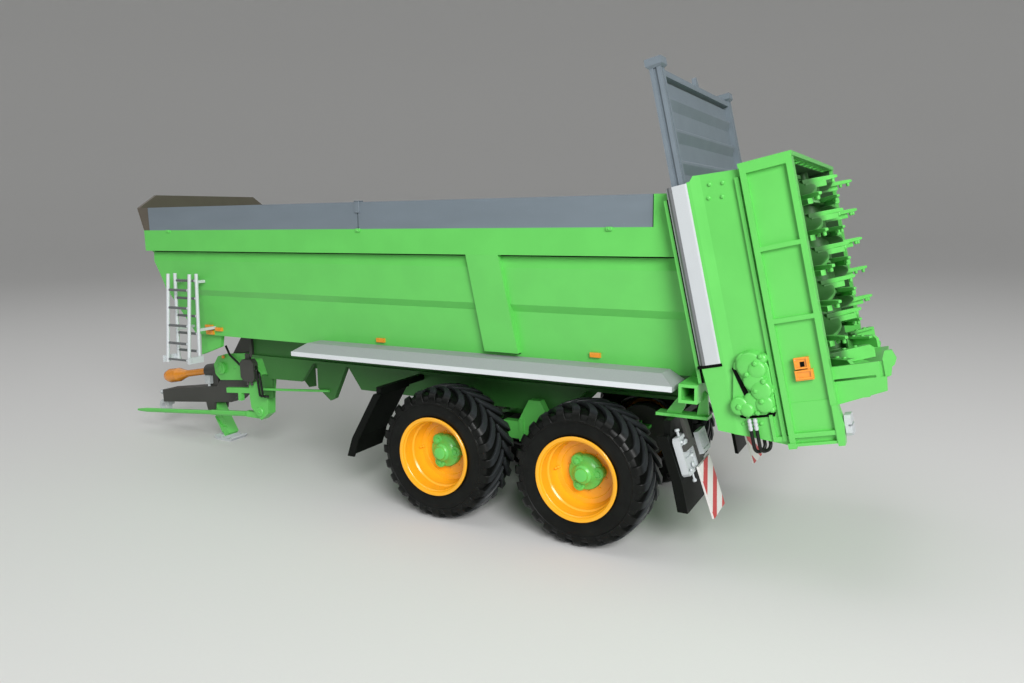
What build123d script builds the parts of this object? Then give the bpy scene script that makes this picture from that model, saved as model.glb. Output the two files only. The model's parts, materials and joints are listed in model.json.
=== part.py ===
from build123d import *
import os
from math import asin, atan2, cos, degrees, pi, radians, sin, tan

# 1:32 scale model of a tandem-axle manure spreader with two upright beaters.
# Frame while modelling: X forward along the drawbar, Y to the left, Z up,
# x = 0 at the rear axle, z = 0 on the ground. Millimetres throughout.
# The pieces behind the body lean with the door, so they are drawn upright
# in a leaned frame (forward, left, up) and then tipped into place.

# ---- wheels and running gear ----
TYRE_RADIUS = 20.85
TYRE_WIDTH = 17.5
TYRE_OUTER_Y = 38.35
WHEELBASE = 48.4
RIM_RADIUS = 12.5
RIM_STAND_OUT = 0.5
RIM_HOLES = 10
RIM_HOLE_RADIUS = 0.35
RIM_HOLE_RING = 6.9
LUG_COUNT = 20
LUG_DEPTH = 1.3
LUG_WIDTH = 2.4
LUG_SLANT = 25.0
DRUM_RADIUS = 9.2
AXLE_RADIUS = 1.5
AXLE_SQUARE = 4.6
RUN_GAP = 0.06
SEAT_GAP = 0.3

# ---- body ----
WALL = 1.3
BOTTOM_Z = 50.8
FLOOR_THICKNESS = 1.5
BELT_Z = 83.3
BELT_TOP_Z = 91.05
BOARD_TOP_Z = 99.6
BOARD_THICKNESS = 1.4
HALF_WIDTH = 32.8
FRONT_TOP_X = 184.0
BOARD_REAR_X = -19.6
BOARD_SPLIT_X = 78.6
BOARD_SPLIT = 0.5
FRONT_BOARD_RISE = 5.0
SLAT_COUNT = 26
SLAT_HEIGHT = 1.0
CHAIN_COUNT = 4

# ---- leaned rear end ----
LEAN = 12.3
REAR_X = -35.2
REAR_Z = 51.5
GUIDE_DEPTH = 5.6
GUIDE_OUTER_Y = 38.4
GUIDE_FOOT = 4.6
GUIDE_TOP = 50.2
GUIDE_WALL = 1.1
PLATE_OUTER_Y = 37.8
PLATE_THICKNESS = 1.0
HOUSING_OUTER_Y = 39.85
HOUSING_FRONT = -18.9
HOUSING_REAR = -30.9
HOUSING_EDGE = 1.4
HOUSING_TOP = 50.4
HOUSING_BOTTOM = -17.6

# ---- guillotine door ----
POST_WIDTH = 3.2
POST_DEPTH = 3.0
DOOR_HEIGHT = 50.2
DOOR_RAISED = 29.8
DOOR_SHUT_GAP = 0.6
SLIDE_GAP = 0.35
DOOR_SHEET = 1.2
DOOR_RIBS = 5
DOOR_RIB_PITCH = 8.3

# ---- beaters ----
BEATER_Y = 18.6
BEATER_FORWARD = -24.5
BEATER_TUBE_RADIUS = 4.0
BEATER_SHAFT_RADIUS = 1.6
FLIGHT_RADIUS = 8.8
TINE_RADIUS = 15.6
PADDLE_RADIUS = 16.9
DISC_RADIUS = 13.0
DISC_Z = -4.2
BEATER_TOP = 47.6
TINE_LEVELS = 10
TINE_WIDTH = 1.4
FLIGHT_LEAD = 17.6
FLIGHT_STEPS = 6
FLIGHT_THICKNESS = 1.0
FLIGHT_FOOT = 5.4
PADDLE_COUNT = 4
PADDLE_TALL = 3.5
PADDLE_TURN = 38.0
DECK_TOP = -7.2
DECK_THICKNESS = 0.8
DECK_FRONT = -5.4
DECK_REAR = -38.0
RAIL_END = -44.8

# ---- chassis and drawbar ----
RAIL_Y = 11.0
RAIL_WIDTH = 3.6
RAIL_HEIGHT = 10.4
RAIL_FRONT_X = 152.0
CROSS_TUBE = 5.0
CROSS_TUBE_WALL = 0.8
CROSS_TUBE_X = -31.2
EYE_X = 224.0
EYE_Z = 10.2
EYE_RADIUS = 3.3
EYE_HOLE_RADIUS = 1.7
EYE_THICKNESS = 1.8
ROD_TIP_X = 232.0


def block(x, y, z):
    """Box between three (low, high) pairs."""
    size = (x[1] - x[0], y[1] - y[0], z[1] - z[0])
    return Pos(x[0], y[0], z[0]) * Box(*size, align=(Align.MIN,) * 3)


def side_prism(points, y):
    """Outline given as (x, z) points, solid between the two y values."""
    face = Pos(0, y[0], 0) * (Plane.XZ * Polygon(*points, align=None))
    return extrude(face, y[1] - y[0], dir=(0, 1, 0))


def end_prism(points, x):
    """Outline given as (y, z) points, solid between the two x values."""
    face = Pos(x[0], 0, 0) * (Plane.YZ * Polygon(*points, align=None))
    return extrude(face, x[1] - x[0], dir=(1, 0, 0))


def plan_prism(points, z):
    """Outline given as (x, y) points, solid between the two z values."""
    face = Pos(0, 0, z[0]) * Polygon(*points, align=None)
    return extrude(face, z[1] - z[0], dir=(0, 0, 1))


def both_sides(points):
    """Outline of the left half closed with its mirror image in Y."""
    return [*points, *[(-y, z) for y, z in reversed(points)]]


def rod(start, end, radius):
    """Round bar between two points."""
    start, end = Vector(*start), Vector(*end)
    along = end - start
    return extrude(Plane(origin=start, z_dir=along) * Circle(radius), along.length)


def bar_y(x, z, radius, y):
    """Round bar along Y between two y values."""
    return rod((x, y[0], z), (x, y[1], z), radius)


def mirrored(shape):
    return mirror(shape, about=Plane.XZ)


def pair(shape):
    return shape + mirrored(shape)


def leaned(shape):
    """Tip a piece drawn in the upright rear frame into its real place."""
    return Pos(REAR_X, 0, REAR_Z) * Rot(0, LEAN, 0) * shape


def lean_x(z, forward=0.0):
    """x at height z on the leaned line that lies `forward` of the door plane."""
    return REAR_X + (z - REAR_Z) * tan(radians(LEAN)) + forward / cos(radians(LEAN))


def boss(x, z, radius, y, bevel):
    """Round boss along Y with its outer rim bevelled."""
    solid = bar_y(x, z, radius, y)
    return chamfer(solid.edges().sort_by(Axis.Y)[-1], bevel)


def pipe(points, radius, bend):
    """Round hose through the points, its corners rounded by `bend`."""
    path = FilletPolyline(*points, radius=bend)
    section = Plane(origin=path @ 0, z_dir=path % 0) * Circle(radius)
    return sweep(section, path=path)


# ---- body shell ----
FLOOR_Z = BOTTOM_Z + FLOOR_THICKNESS
# outer outline of one side, from the bottom up: half width, height
SIDE_OUTLINE = [
    (26.2, BOTTOM_Z),
    (28.0, 66.3),
    (29.6, 68.6),
    (30.6, 79.5),
    (30.2, BELT_Z),
    (HALF_WIDTH, BELT_Z),
    (HALF_WIDTH, BOARD_TOP_Z),
]
INNER_OUTLINE = [
    (24.6, FLOOR_Z),
    (28.4, BELT_Z - WALL),
    (HALF_WIDTH - BOARD_THICKNESS, BELT_Z + 2.5),
    (HALF_WIDTH - BOARD_THICKNESS, BOARD_TOP_Z + 1),
]
# front wall, from the top down: setback from the belt's front end, height
FRONT_OUTLINE = [
    (0.0, BELT_TOP_Z),
    (0.0, BELT_Z),
    (1.4, BELT_Z - 0.8),
    (1.6, 79.0),
    (3.6, 74.6),
    (5.4, 70.0),
    (6.0, 66.0),
    (17.0, BOTTOM_Z),
]


def body_shell():
    """Open-topped tub: slanted sides with a belt, a bowed front wall, open rear."""
    front = [(FRONT_TOP_X - back, z) for back, z in FRONT_OUTLINE]
    rear = [
        (lean_x(BOTTOM_Z), BOTTOM_Z),
        (lean_x(BOARD_TOP_Z), BOARD_TOP_Z),
        (BOARD_REAR_X - SEAT_GAP, BOARD_TOP_Z),
        (BOARD_REAR_X - SEAT_GAP, BELT_TOP_Z),
    ]
    span = (lean_x(BOTTOM_Z) - 1, FRONT_TOP_X + 1)
    outer = side_prism([*rear, *front], (-HALF_WIDTH, HALF_WIDTH))
    outer &= end_prism(both_sides(SIDE_OUTLINE), span)
    inner_front = [(x - WALL, z) for x, z in front[:-1]]
    inner_front.append((front[-1][0] - WALL + 1.0, FLOOR_Z))
    clear_top = BOARD_TOP_Z + 1
    opening = [(span[0] - 5, FLOOR_Z), (span[0] - 5, clear_top), (inner_front[0][0], clear_top)]
    cavity = side_prism([*opening, *inner_front], (-HALF_WIDTH, HALF_WIDTH))
    cavity &= end_prism(both_sides(INNER_OUTLINE), (span[0] - 5, span[1]))
    post = side_prism(POST_OUTLINE, (0, HALF_WIDTH))
    post &= end_prism([(20, 53.7), (28.9, 53.7), (HALF_WIDTH, BELT_Z + 0.1), (20, BELT_Z + 0.1)], (10, 50))
    flange = end_prism([(22.0, 0.0), (36.4, 0.0), (36.4, 47.5), (22.0, 47.5)], (0, 1.5))
    gusset = side_prism(GUSSET_OUTLINE, (22.6, 24.0))
    return outer + pair(post + gusset) + leaned(pair(flange)) - cavity


# triangular plate under each front corner of the floor: x, z
GUSSET_OUTLINE = [(167.0, BOTTOM_Z + 0.2), (155.5, BOTTOM_Z + 0.2), (156.5, 46.0), (167.6, 42.2)]
# slanted post in the middle of each side: x, z
POST_OUTLINE = [(34.6, 53.7), (22.9, 53.7), (27.2, BELT_Z + 0.1), (38.3, BELT_Z + 0.1)]


def floor_conveyor():
    """Chains and cross slats that lie on the floor of the tub."""
    span = (lean_x(FLOOR_Z) + 4.0, FRONT_TOP_X - 22.0)
    reach = INNER_OUTLINE[0][0] - 1.2
    pitch = (span[1] - span[0]) / SLAT_COUNT
    slats = []
    for slat in range(SLAT_COUNT):
        x = span[0] + pitch * (slat + 0.5)
        top = FLOOR_Z + SLAT_HEIGHT
        outline = [(x - 1.1, FLOOR_Z), (x + 1.1, FLOOR_Z), (x + 0.6, top), (x - 0.6, top)]
        slats.append(side_prism(outline, (-reach, reach)))
    chains = []
    for chain in range(CHAIN_COUNT):
        y = reach * (-1 + (2 * chain + 1) / CHAIN_COUNT)
        chains.append(block(span, (y - 0.8, y + 0.8), (FLOOR_Z, FLOOR_Z + SLAT_HEIGHT * 0.6)))
    return chains[0] + [*chains[1:], *slats]


def side_board(side):
    """Top extension of one side: two boards with a joint between them."""
    front_x = FRONT_TOP_X - 3.2
    y = (HALF_WIDTH - BOARD_THICKNESS, HALF_WIDTH)
    spans = [(BOARD_REAR_X, BOARD_SPLIT_X - BOARD_SPLIT / 2), (BOARD_SPLIT_X + BOARD_SPLIT / 2, front_x)]
    boards = [block(x, y, (BELT_TOP_Z, BOARD_TOP_Z)) for x in spans]
    solid = boards[0] + boards[1]
    return solid if side > 0 else mirrored(solid)


def front_board():
    """Front extension: a leaned plate with cut corners and short side returns."""
    foot_x = FRONT_TOP_X
    top_x = FRONT_TOP_X + 3.0
    rise = BOARD_TOP_Z + FRONT_BOARD_RISE
    front = [(foot_x, BELT_TOP_Z), (top_x, BOARD_TOP_Z), (top_x, rise)]
    back = [(x - WALL, z) for x, z in reversed(front)]
    plate = side_prism([*front, *back], (-HALF_WIDTH, HALF_WIDTH))
    cut = [(HALF_WIDTH - 8, rise), (HALF_WIDTH, BOARD_TOP_Z), (HALF_WIDTH + 1, rise + 1)]
    plate -= pair(end_prism(cut, (foot_x - 5, top_x + 5)))
    wing = side_prism(
        [(foot_x - 3.0, BELT_TOP_Z), (foot_x, BELT_TOP_Z), (top_x, BOARD_TOP_Z), (foot_x - 3.0, BOARD_TOP_Z)],
        (HALF_WIDTH - BOARD_THICKNESS, HALF_WIDTH),
    )
    return plate + pair(wing)


# ---- door and its guides ----
POST_FORWARD = (-1.4 - POST_DEPTH, -1.4)
POST_OUT_Y = GUIDE_OUTER_Y - GUIDE_WALL - SLIDE_GAP


def door_frame():
    """Grooved side posts with caps, joined across the top by a bar with a lug."""
    foot = DOOR_RAISED
    top = DOOR_RAISED + DOOR_HEIGHT
    rear, front = POST_FORWARD
    inner = POST_OUT_Y - POST_WIDTH
    post = block(POST_FORWARD, (inner, POST_OUT_Y), (foot, top))
    groove = (POST_DEPTH - 0.8) / 2
    post -= block((rear + groove, front - groove), (POST_OUT_Y - 0.5, POST_OUT_Y + 1), (foot - 1, top))
    groove = (POST_WIDTH - 0.8) / 2
    post -= block((rear - 1, rear + 0.5), (inner + groove, POST_OUT_Y - groove), (foot - 1, top))
    cap = block((rear - 0.7, front + 0.7), (inner - 0.7, POST_OUT_Y + 0.7), (top, top + 2.4))
    cap = chamfer(cap.faces().sort_by(Axis.Z)[0].edges(), 0.6)
    bar = block((rear + 0.4, front), (-inner, inner), (top - 1.8, top - 0.2))
    lug_x = (rear + 0.8, rear + 2.0)
    lug = end_prism([(-1.7, top - 0.4), (1.7, top - 0.4), (0.7, top + 2.4), (-0.7, top + 2.4)], lug_x)
    lug += rod((lug_x[0], 0, top + 2.1), (lug_x[1], 0, top + 2.1), 0.78)
    return leaned(pair(post + cap) + bar + lug)


def door_sheet():
    """Sheet between the posts with pressed horizontal ribs on its rear face."""
    half = POST_OUT_Y - POST_WIDTH
    foot = DOOR_RAISED
    top = DOOR_RAISED + DOOR_HEIGHT - 2.6
    front = POST_FORWARD[1] - 0.2
    rear = front - DOOR_SHEET
    sheet = block((rear, front), (-half, half), (foot, top))
    for level in range(DOOR_RIBS):
        z = top - 3.4 - level * DOOR_RIB_PITCH
        outline = [(rear + 0.1, z), (rear - 1.1, z - 0.9), (rear - 1.1, z - 1.5), (rear + 0.1, z - 4.2)]
        sheet += side_prism(outline, (-half + 1.6, half - 1.6))
    return leaned(sheet)


GUIDE_BEVEL = 1.0


def door_guide(side):
    """Bright channel that holds one door post, bevelled along its outer corners."""
    inner = GUIDE_OUTER_Y - GUIDE_WALL
    outline = [
        (0.0, 34.6),
        (0.0, GUIDE_OUTER_Y - GUIDE_BEVEL),
        (-GUIDE_BEVEL, GUIDE_OUTER_Y),
        (-GUIDE_DEPTH + 0.5, GUIDE_OUTER_Y),
        (-GUIDE_DEPTH, GUIDE_OUTER_Y - 0.1),
        (-GUIDE_DEPTH, inner),
        (-GUIDE_WALL, inner),
        (-GUIDE_WALL, 34.6),
    ]
    solid = leaned(plan_prism(outline, (GUIDE_FOOT, GUIDE_TOP)))
    return solid if side > 0 else mirrored(solid)


def rear_side_plate(side):
    """Plate from the guide back to the beater housing, flared to the guide's face."""
    thick = PLATE_THICKNESS
    edge = -GUIDE_DEPTH
    face = [(edge, 38.3), (edge - 0.9, 38.25), (edge - 2.2, 38.0), (edge - 3.4, PLATE_OUTER_Y)]
    outer = [*face, (HOUSING_FRONT, PLATE_OUTER_Y), (HOUSING_FRONT, PLATE_OUTER_Y - thick)]
    back = [(edge - 3.6, PLATE_OUTER_Y - thick), (edge - 2.4, 38.0 - thick), (edge, 38.3 - thick)]
    sheet = plan_prism([*outer, *back], (-20, 55))
    top = [(edge, 50.4), (edge - 0.8, 50.4), (edge - 1.8, 51.6), (HOUSING_FRONT, HOUSING_TOP)]
    bottom = [(HOUSING_FRONT, HOUSING_BOTTOM), (-18.2, HOUSING_BOTTOM), (edge, -13.5)]
    sheet &= side_prism([*top, *bottom], (30, 45))
    toe_top = GUIDE_FOOT - 0.3
    toe_outline = [(edge - 0.5, toe_top), (-0.6, toe_top), (-1.8, -12.2), (edge - 0.5, -13.6)]
    toe = side_prism(toe_outline, (38.3 - thick, 38.3))
    rib_y = (PLATE_OUTER_Y - 0.2, PLATE_OUTER_Y + 0.7)
    ridge = block((HOUSING_FRONT + 0.7, HOUSING_FRONT + 1.7), (rib_y[0], PLATE_OUTER_Y + 0.9), (-16.4, 48.6))
    rib = block((-15.7, -14.9), rib_y, (-15.2, -9.6))
    foot = block((HOUSING_FRONT, -14.9), rib_y, (-16.4, -15.2))
    solid = leaned(sheet + toe + ridge + rib + foot)
    return solid if side > 0 else mirrored(solid)


def beater_housing():
    """Framed sides and roof round the beaters, open at the front and rear."""
    inner = PLATE_OUTER_Y - PLATE_THICKNESS
    outer = HOUSING_OUTER_Y
    x = (HOUSING_REAR, HOUSING_FRONT)
    frame = block(x, (inner, outer), (HOUSING_BOTTOM, HOUSING_TOP))
    for low, high, deep in HOUSING_PANELS:
        frame -= block((x[0] + HOUSING_EDGE, x[1] - HOUSING_EDGE), (outer - deep, outer + 1), (low, high))
    foot_z = (HOUSING_BOTTOM - 0.5, HOUSING_BOTTOM + 0.9)
    foot = block((x[1] - 1.4, x[1] + 0.5), (outer - 1.4, outer + 0.25), foot_z)
    lug = side_prism([(x[0] + shift, z) for shift, z in HOUSING_LUG], (inner, outer + 0.25))
    roof = block((x[0] - 0.2, x[1] + 0.2), (-outer, outer), (HOUSING_TOP, HOUSING_TOP + 1.1))
    for bay in range(ROOF_BAYS):
        y = -inner + 2 * inner * (bay + 0.5) / ROOF_BAYS
        roof -= block((x[0] + 0.9, x[0] + 2.9), (y - 2.6, y + 2.6), (HOUSING_TOP - 1, HOUSING_TOP + 2))
    for y in (-BEATER_Y, BEATER_Y):
        roof -= Pos(BEATER_FORWARD, y, HOUSING_TOP) * Cylinder(BEATER_SHAFT_RADIUS + RUN_GAP, 4)
    return leaned(pair(frame + foot + lug) + roof)


# pressed panels of the housing side: low edge, high edge, depth
HOUSING_PANELS = [
    (-16.9, -15.5, 1.2),
    (-14.4, -7.1, 1.0),
    (-7.1, 12.5, 1.2),
    (13.6, 30.0, 1.2),
    (31.1, 48.9, 1.2),
]
ROOF_BAYS = 9
# lug at the foot of the housing's rear edge: distance forward of that edge, up
HOUSING_LUG = [(1.2, -18.2), (-0.3, -18.2), (-0.9, -13.4), (-0.1, -8.4), (1.2, -8.4)]


# side plates of the spreading table: forward, up, clockwise from the rear top
LEFT_TABLE_SIDE = [
    (-42.2, -3.6),
    (DECK_FRONT, -3.6),
    (DECK_FRONT, -8.2),
    (-12.0, -12.2),
    (-26.8, -12.2),
    (-30.0, -9.2),
    (-41.8, -7.0),
]
RIGHT_TABLE_SIDE = [
    (-35.7, -5.2),
    (DECK_FRONT, -5.2),
    (DECK_FRONT, -8.2),
    (-12.0, -12.2),
    (-26.8, -12.2),
    (-30.0, -9.2),
    (-35.7, -7.8),
]
# bracket at the left rail's rear end: forward, up
RAIL_BRACKET = [
    (-42.6, 2.3),
    (-44.1, 2.3),
    (RAIL_END, 0.2),
    (-44.2, -1.2),
    (-43.6, -1.6),
    (-43.1, -3.6),
    (-41.9, -3.6),
    (-41.9, 0.6),
]
TABLE_SIDE = 1.0


def rear_deck():
    """Spreading table: tray with side plates, and a rail with a bracket on its left."""
    half = PLATE_OUTER_Y - PLATE_THICKNESS
    inner = half - TABLE_SIDE
    bottom = DECK_TOP - DECK_THICKNESS
    table = block((DECK_REAR, DECK_FRONT), (-half, half), (bottom, DECK_TOP))
    table += block((DECK_FRONT - 0.8, DECK_FRONT), (-half, half), (bottom, -3.2))
    table += side_prism(LEFT_TABLE_SIDE, (inner, half))
    table += side_prism(RIGHT_TABLE_SIDE, (-half, -inner))
    table += block((-41.0, -21.0), (inner, half), (-3.0, 0.0))
    for x in (-41.0, -22.0):
        table += block((x, x + 1.0), (inner, half), (-3.8, -2.8))
    table += block((-42.7, -40.8), (inner, inner + 0.5), (-3.8, -0.1))
    table += side_prism(RAIL_BRACKET, (inner, half))
    for y in (-BEATER_Y, BEATER_Y):
        table -= Pos(BEATER_FORWARD, y, DECK_TOP) * Cylinder(BEATER_SHAFT_RADIUS + RUN_GAP, 8)
    return leaned(table)


def flight_plate():
    """One sector of the spiral flight, tilted to the lead at its middle radius."""
    span = 360 / FLIGHT_STEPS + 6
    corners = [radians(span * (share / 3 - 0.5)) for share in range(4)]
    root = BEATER_TUBE_RADIUS - 0.8
    outer = [(FLIGHT_RADIUS * cos(a), FLIGHT_RADIUS * sin(a)) for a in corners]
    inner = [(root * cos(a), root * sin(a)) for a in reversed(corners)]
    tilt = degrees(atan2(FLIGHT_LEAD, pi * (FLIGHT_RADIUS + root)))
    half = FLIGHT_THICKNESS / 2
    return Rot(tilt, 0, 0) * plan_prism([*outer, *inner], (-half, half))


def beater(side, turned=0.0):
    """Upright beater: tube, two spiral flights with tines, and a disc with paddles."""
    tall = BEATER_TOP - DISC_Z
    align = (Align.CENTER, Align.CENTER, Align.MIN)
    shaft_foot = DECK_TOP - 2.6
    shaft_tall = HOUSING_TOP + 1.3 - shaft_foot
    shaft = Pos(0, 0, shaft_foot) * Cylinder(BEATER_SHAFT_RADIUS, shaft_tall, align=align)
    tube = Pos(0, 0, DISC_Z) * Cylinder(BEATER_TUBE_RADIUS, tall, align=align)
    disc = Pos(0, 0, DISC_Z) * Cylinder(DISC_RADIUS, 1.2, align=align)
    added = [tube, disc]
    low = DISC_Z + 1.1
    for turn in range(PADDLE_COUNT):
        paddle = block((3.0, PADDLE_RADIUS), (-0.5, 0.5), (low, low + PADDLE_TALL))
        lip = block((6.0, PADDLE_RADIUS), (-0.5, 1.7), (low + PADDLE_TALL - 0.7, low + PADDLE_TALL))
        added.append(Rot(0, 0, 360 / PADDLE_COUNT * turn + PADDLE_TURN) * (paddle + lip))
    sector = flight_plate()
    step = FLIGHT_LEAD / FLIGHT_STEPS
    steps = int((BEATER_TOP - FLIGHT_FOOT - 1.5) / step) + 1
    for start in (0, 180):
        for number in range(steps):
            turn = start + number * 360 / FLIGHT_STEPS
            added.append(Pos(0, 0, FLIGHT_FOOT + number * step) * Rot(0, 0, turn) * sector)
    root = FLIGHT_RADIUS - 3.5
    half = TINE_WIDTH / 2
    tip = [(TINE_RADIUS - 1.6, -half), (TINE_RADIUS, -0.3), (TINE_RADIUS, half)]
    outline = [(root, -half), *tip, (root, half)]
    tine = plan_prism(outline, (-0.2, 0.8))
    tine += block((TINE_RADIUS - 2.2, TINE_RADIUS - 0.5), (-0.45, 0.45), (-1.2, -0.1))
    for level in range(TINE_LEVELS):
        z = FLIGHT_FOOT + level * FLIGHT_LEAD / 4
        for start in (0, 180):
            added.append(Pos(0, 0, z) * Rot(0, 0, start + 90 * level) * tine)
    solid = shaft + added
    solid = leaned(Pos(BEATER_FORWARD, BEATER_Y, 0) * Rot(0, 0, turned) * solid)
    return solid if side > 0 else mirrored(solid)


# lobes of the beater drive casting: forward, up, radius, stand-out from the plate
CASTING_LOBES = [
    (-12.6, 2.0, 4.2, 2.6),
    (-12.6, 2.0, 2.4, 3.6),
    (-13.4, -4.6, 3.6, 2.0),
    (-13.4, -4.6, 2.0, 3.0),
    (-8.3, -6.2, 2.2, 2.6),
    (-14.9, -7.2, 2.1, 2.8),
]
# small bosses on it: forward, up
CASTING_BOSSES = [(-15.9, 5.0), (-9.6, 4.6), (-15.9, -0.9), (-10.2, -2.4), (-11.2, -7.2), (-16.1, 2.0)]
# outline of its base against the plate: forward, up
CASTING_BASE = [
    (-8.8, 4.2),
    (-10.8, 6.4),
    (-16.0, 5.9),
    (-17.1, 2.1),
    (-17.0, -7.3),
    (-14.4, -9.3),
    (-9.3, -9.0),
    (-6.2, -7.2),
    (-7.1, -4.0),
]
PORT_FORWARD = (-10.1, -11.5)
PORT_Y = PLATE_OUTER_Y + 1.2
PORT_Z = -9.9
FITTING_LONG = 3.0
FITTING_RADIUS = 0.55
HOSE_RADIUS = 0.45


def gearbox(side):
    """Beater drive casting on the side plate: base, lobes, bosses and hose ports."""
    low = PLATE_OUTER_Y
    solid = side_prism(CASTING_BASE, (low, low + 1.2))
    parts = [boss(x, z, radius, (low, low + out), 0.5) for x, z, radius, out in CASTING_LOBES]
    parts += [boss(x, z, 0.8, (low, low + 2.2), 0.25) for x, z in CASTING_BOSSES]
    ports = block((PORT_FORWARD[1] - 0.8, PORT_FORWARD[0] + 0.8), (low, PORT_Y + 0.8), (PORT_Z, PORT_Z + 2.0))
    solid = leaned(solid + [*parts, ports]) - rear_side_plate(1)
    return solid if side > 0 else mirrored(solid)


def rear_fittings(side):
    """Ribbed hose ends that hang from the casting's ports."""
    solids = []
    for x in PORT_FORWARD:
        foot = PORT_Z - FITTING_LONG
        body = rod((x, PORT_Y, foot), (x, PORT_Y, PORT_Z), FITTING_RADIUS - 0.12)
        for ring in range(3):
            z = foot + 0.35 + ring * 0.9
            body += rod((x, PORT_Y, z), (x, PORT_Y, z + 0.5), FITTING_RADIUS)
        solids.append(leaned(body))
    return [solid if side > 0 else mirrored(solid) for solid in solids]


def rear_hoses(side):
    """Hoses from the fittings, round the plate's lower edge, up to the deck's side."""
    solids = []
    deck_foot = -12.2
    reach = PLATE_OUTER_Y - PLATE_THICKNESS - 0.95
    for x in PORT_FORWARD:
        dip = HOUSING_BOTTOM - 1.0
        down = [(x, PORT_Y, PORT_Z - FITTING_LONG), (x, PORT_Y, dip)]
        up = [(x - 2.0, reach, dip), (x - 2.0, reach, deck_foot)]
        solids.append(leaned(pipe([*down, *up], HOSE_RADIUS, 1.5)))
    return [solid if side > 0 else mirrored(solid) for solid in solids]


def rear_lamp(side):
    """Two stacked round-cornered lamps on the rear edge of the housing's lower lug."""
    x = HOUSING_REAR - 0.9
    y = (34.4, HOUSING_OUTER_Y - 0.4)
    shell = block((x - 1.5, x), y, (-16.2, -11.3))
    shell = chamfer(shell.edges().filter_by(Axis.X), 0.8)
    shell -= block((x - 2, x - 0.7), (y[0] - 1, y[1] + 1), (-13.9, -13.4))
    solid = leaned(shell)
    return solid if side > 0 else mirrored(solid)


# ---- wheels ----
TYRE_MID_Y = TYRE_OUTER_Y - TYRE_WIDTH / 2
RIM_OUT = TYRE_WIDTH / 2 + RIM_STAND_OUT
# wheel places: name, x, side
WHEELS = [
    ("front_left", WHEELBASE, 1),
    ("front_right", WHEELBASE, -1),
    ("rear_left", 0.0, 1),
    ("rear_right", 0.0, -1),
]


def spun(points):
    """Ring about the wheel axis from (distance out from tyre middle, radius) points."""
    outline = Plane.YZ * Polygon(*points, align=None)
    return revolve(outline, Axis.Y)


def at_wheel(shape, x, side):
    shape = shape if side > 0 else mirrored(shape)
    return Pos(x, side * TYRE_MID_Y, TYRE_RADIUS) * shape


TREAD_BASE = TYRE_RADIUS - LUG_DEPTH
BULGE_RADIUS = RIM_RADIUS + 2.4
SHOULDER_IN = 1.5
# how far the sidewall comes in for each millimetre of radius above its bulge
WALL_SLOPE = SHOULDER_IN / (TREAD_BASE - BULGE_RADIUS)
# half section of the carcass: distance out from the tyre's middle, radius
CARCASS_OUTLINE = [
    (0.0, RIM_RADIUS - 2.0),
    (TYRE_WIDTH / 2 - 1.4, RIM_RADIUS - 2.0),
    (TYRE_WIDTH / 2, BULGE_RADIUS),
    (TYRE_WIDTH / 2 - SHOULDER_IN, TREAD_BASE),
    (0.0, TREAD_BASE),
]
LUG_LONG = TYRE_WIDTH / 2 - SHOULDER_IN
LUG_SHIFT = LUG_LONG / 2 * tan(radians(LUG_SLANT))
LUG_REACH = LUG_SHIFT + LUG_WIDTH / 2 / cos(radians(LUG_SLANT))
# the corner of a lug's flat top lies on the tyre's radius
LUG_TOP = TYRE_RADIUS * cos(asin(LUG_REACH / TYRE_RADIUS))
# section of a lug from the tyre's middle out; its end lies in the sidewall's plane
LUG_OUTLINE = [
    (0.0, TREAD_BASE - 1.0),
    (LUG_LONG + WALL_SLOPE, TREAD_BASE - 1.0),
    (LUG_LONG - (LUG_TOP - TREAD_BASE) * WALL_SLOPE, LUG_TOP),
    (0.0, LUG_TOP),
]


def tyre():
    """Flat-sided carcass with a slanted lug on each flat, its halves half a pitch apart."""
    pitch = 360 / LUG_COUNT
    half_flat = TYRE_RADIUS * tan(radians(pitch / 2))
    wedge = side_prism([(0, 0), (-half_flat, TYRE_RADIUS), (half_flat, TYRE_RADIUS)], (-1, TYRE_WIDTH))
    sector = end_prism(CARCASS_OUTLINE, (-half_flat, half_flat)) & wedge
    bar = block((-LUG_WIDTH / 2, LUG_WIDTH / 2), (-2, TYRE_WIDTH), (RIM_RADIUS, TYRE_RADIUS + 1))
    bar = Pos(LUG_SHIFT, 0, 0) * Rot(0, 0, LUG_SLANT) * bar
    sector += bar & end_prism(LUG_OUTLINE, (-TYRE_RADIUS, TYRE_RADIUS))
    sectors = [Rot(0, pitch * turn, 0) * sector for turn in range(LUG_COUNT)]
    sectors += [Rot(0, pitch * (turn + 0.5), 0) * mirrored(sector) for turn in range(LUG_COUNT)]
    bore = Plane.XZ * RegularPolygon(RIM_RADIUS - 0.6, 2 * LUG_COUNT, major_radius=False)
    solid = sectors[0] + sectors[1:] - extrude(bore, TYRE_WIDTH, both=True)
    # turned so that the corner of a lug touches the ground
    return Rot(0, -degrees(asin(LUG_REACH / TYRE_RADIUS)), 0) * solid


HUB_SEAT = 4.2
HUB_RADIUS = 5.3
HUB_CAP_RADIUS = 2.1
HUB_OUT = 5.3
HUB_LOBES = 3
DISC_FRONT = 2.5
DISC_REAR = 1.2


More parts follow.
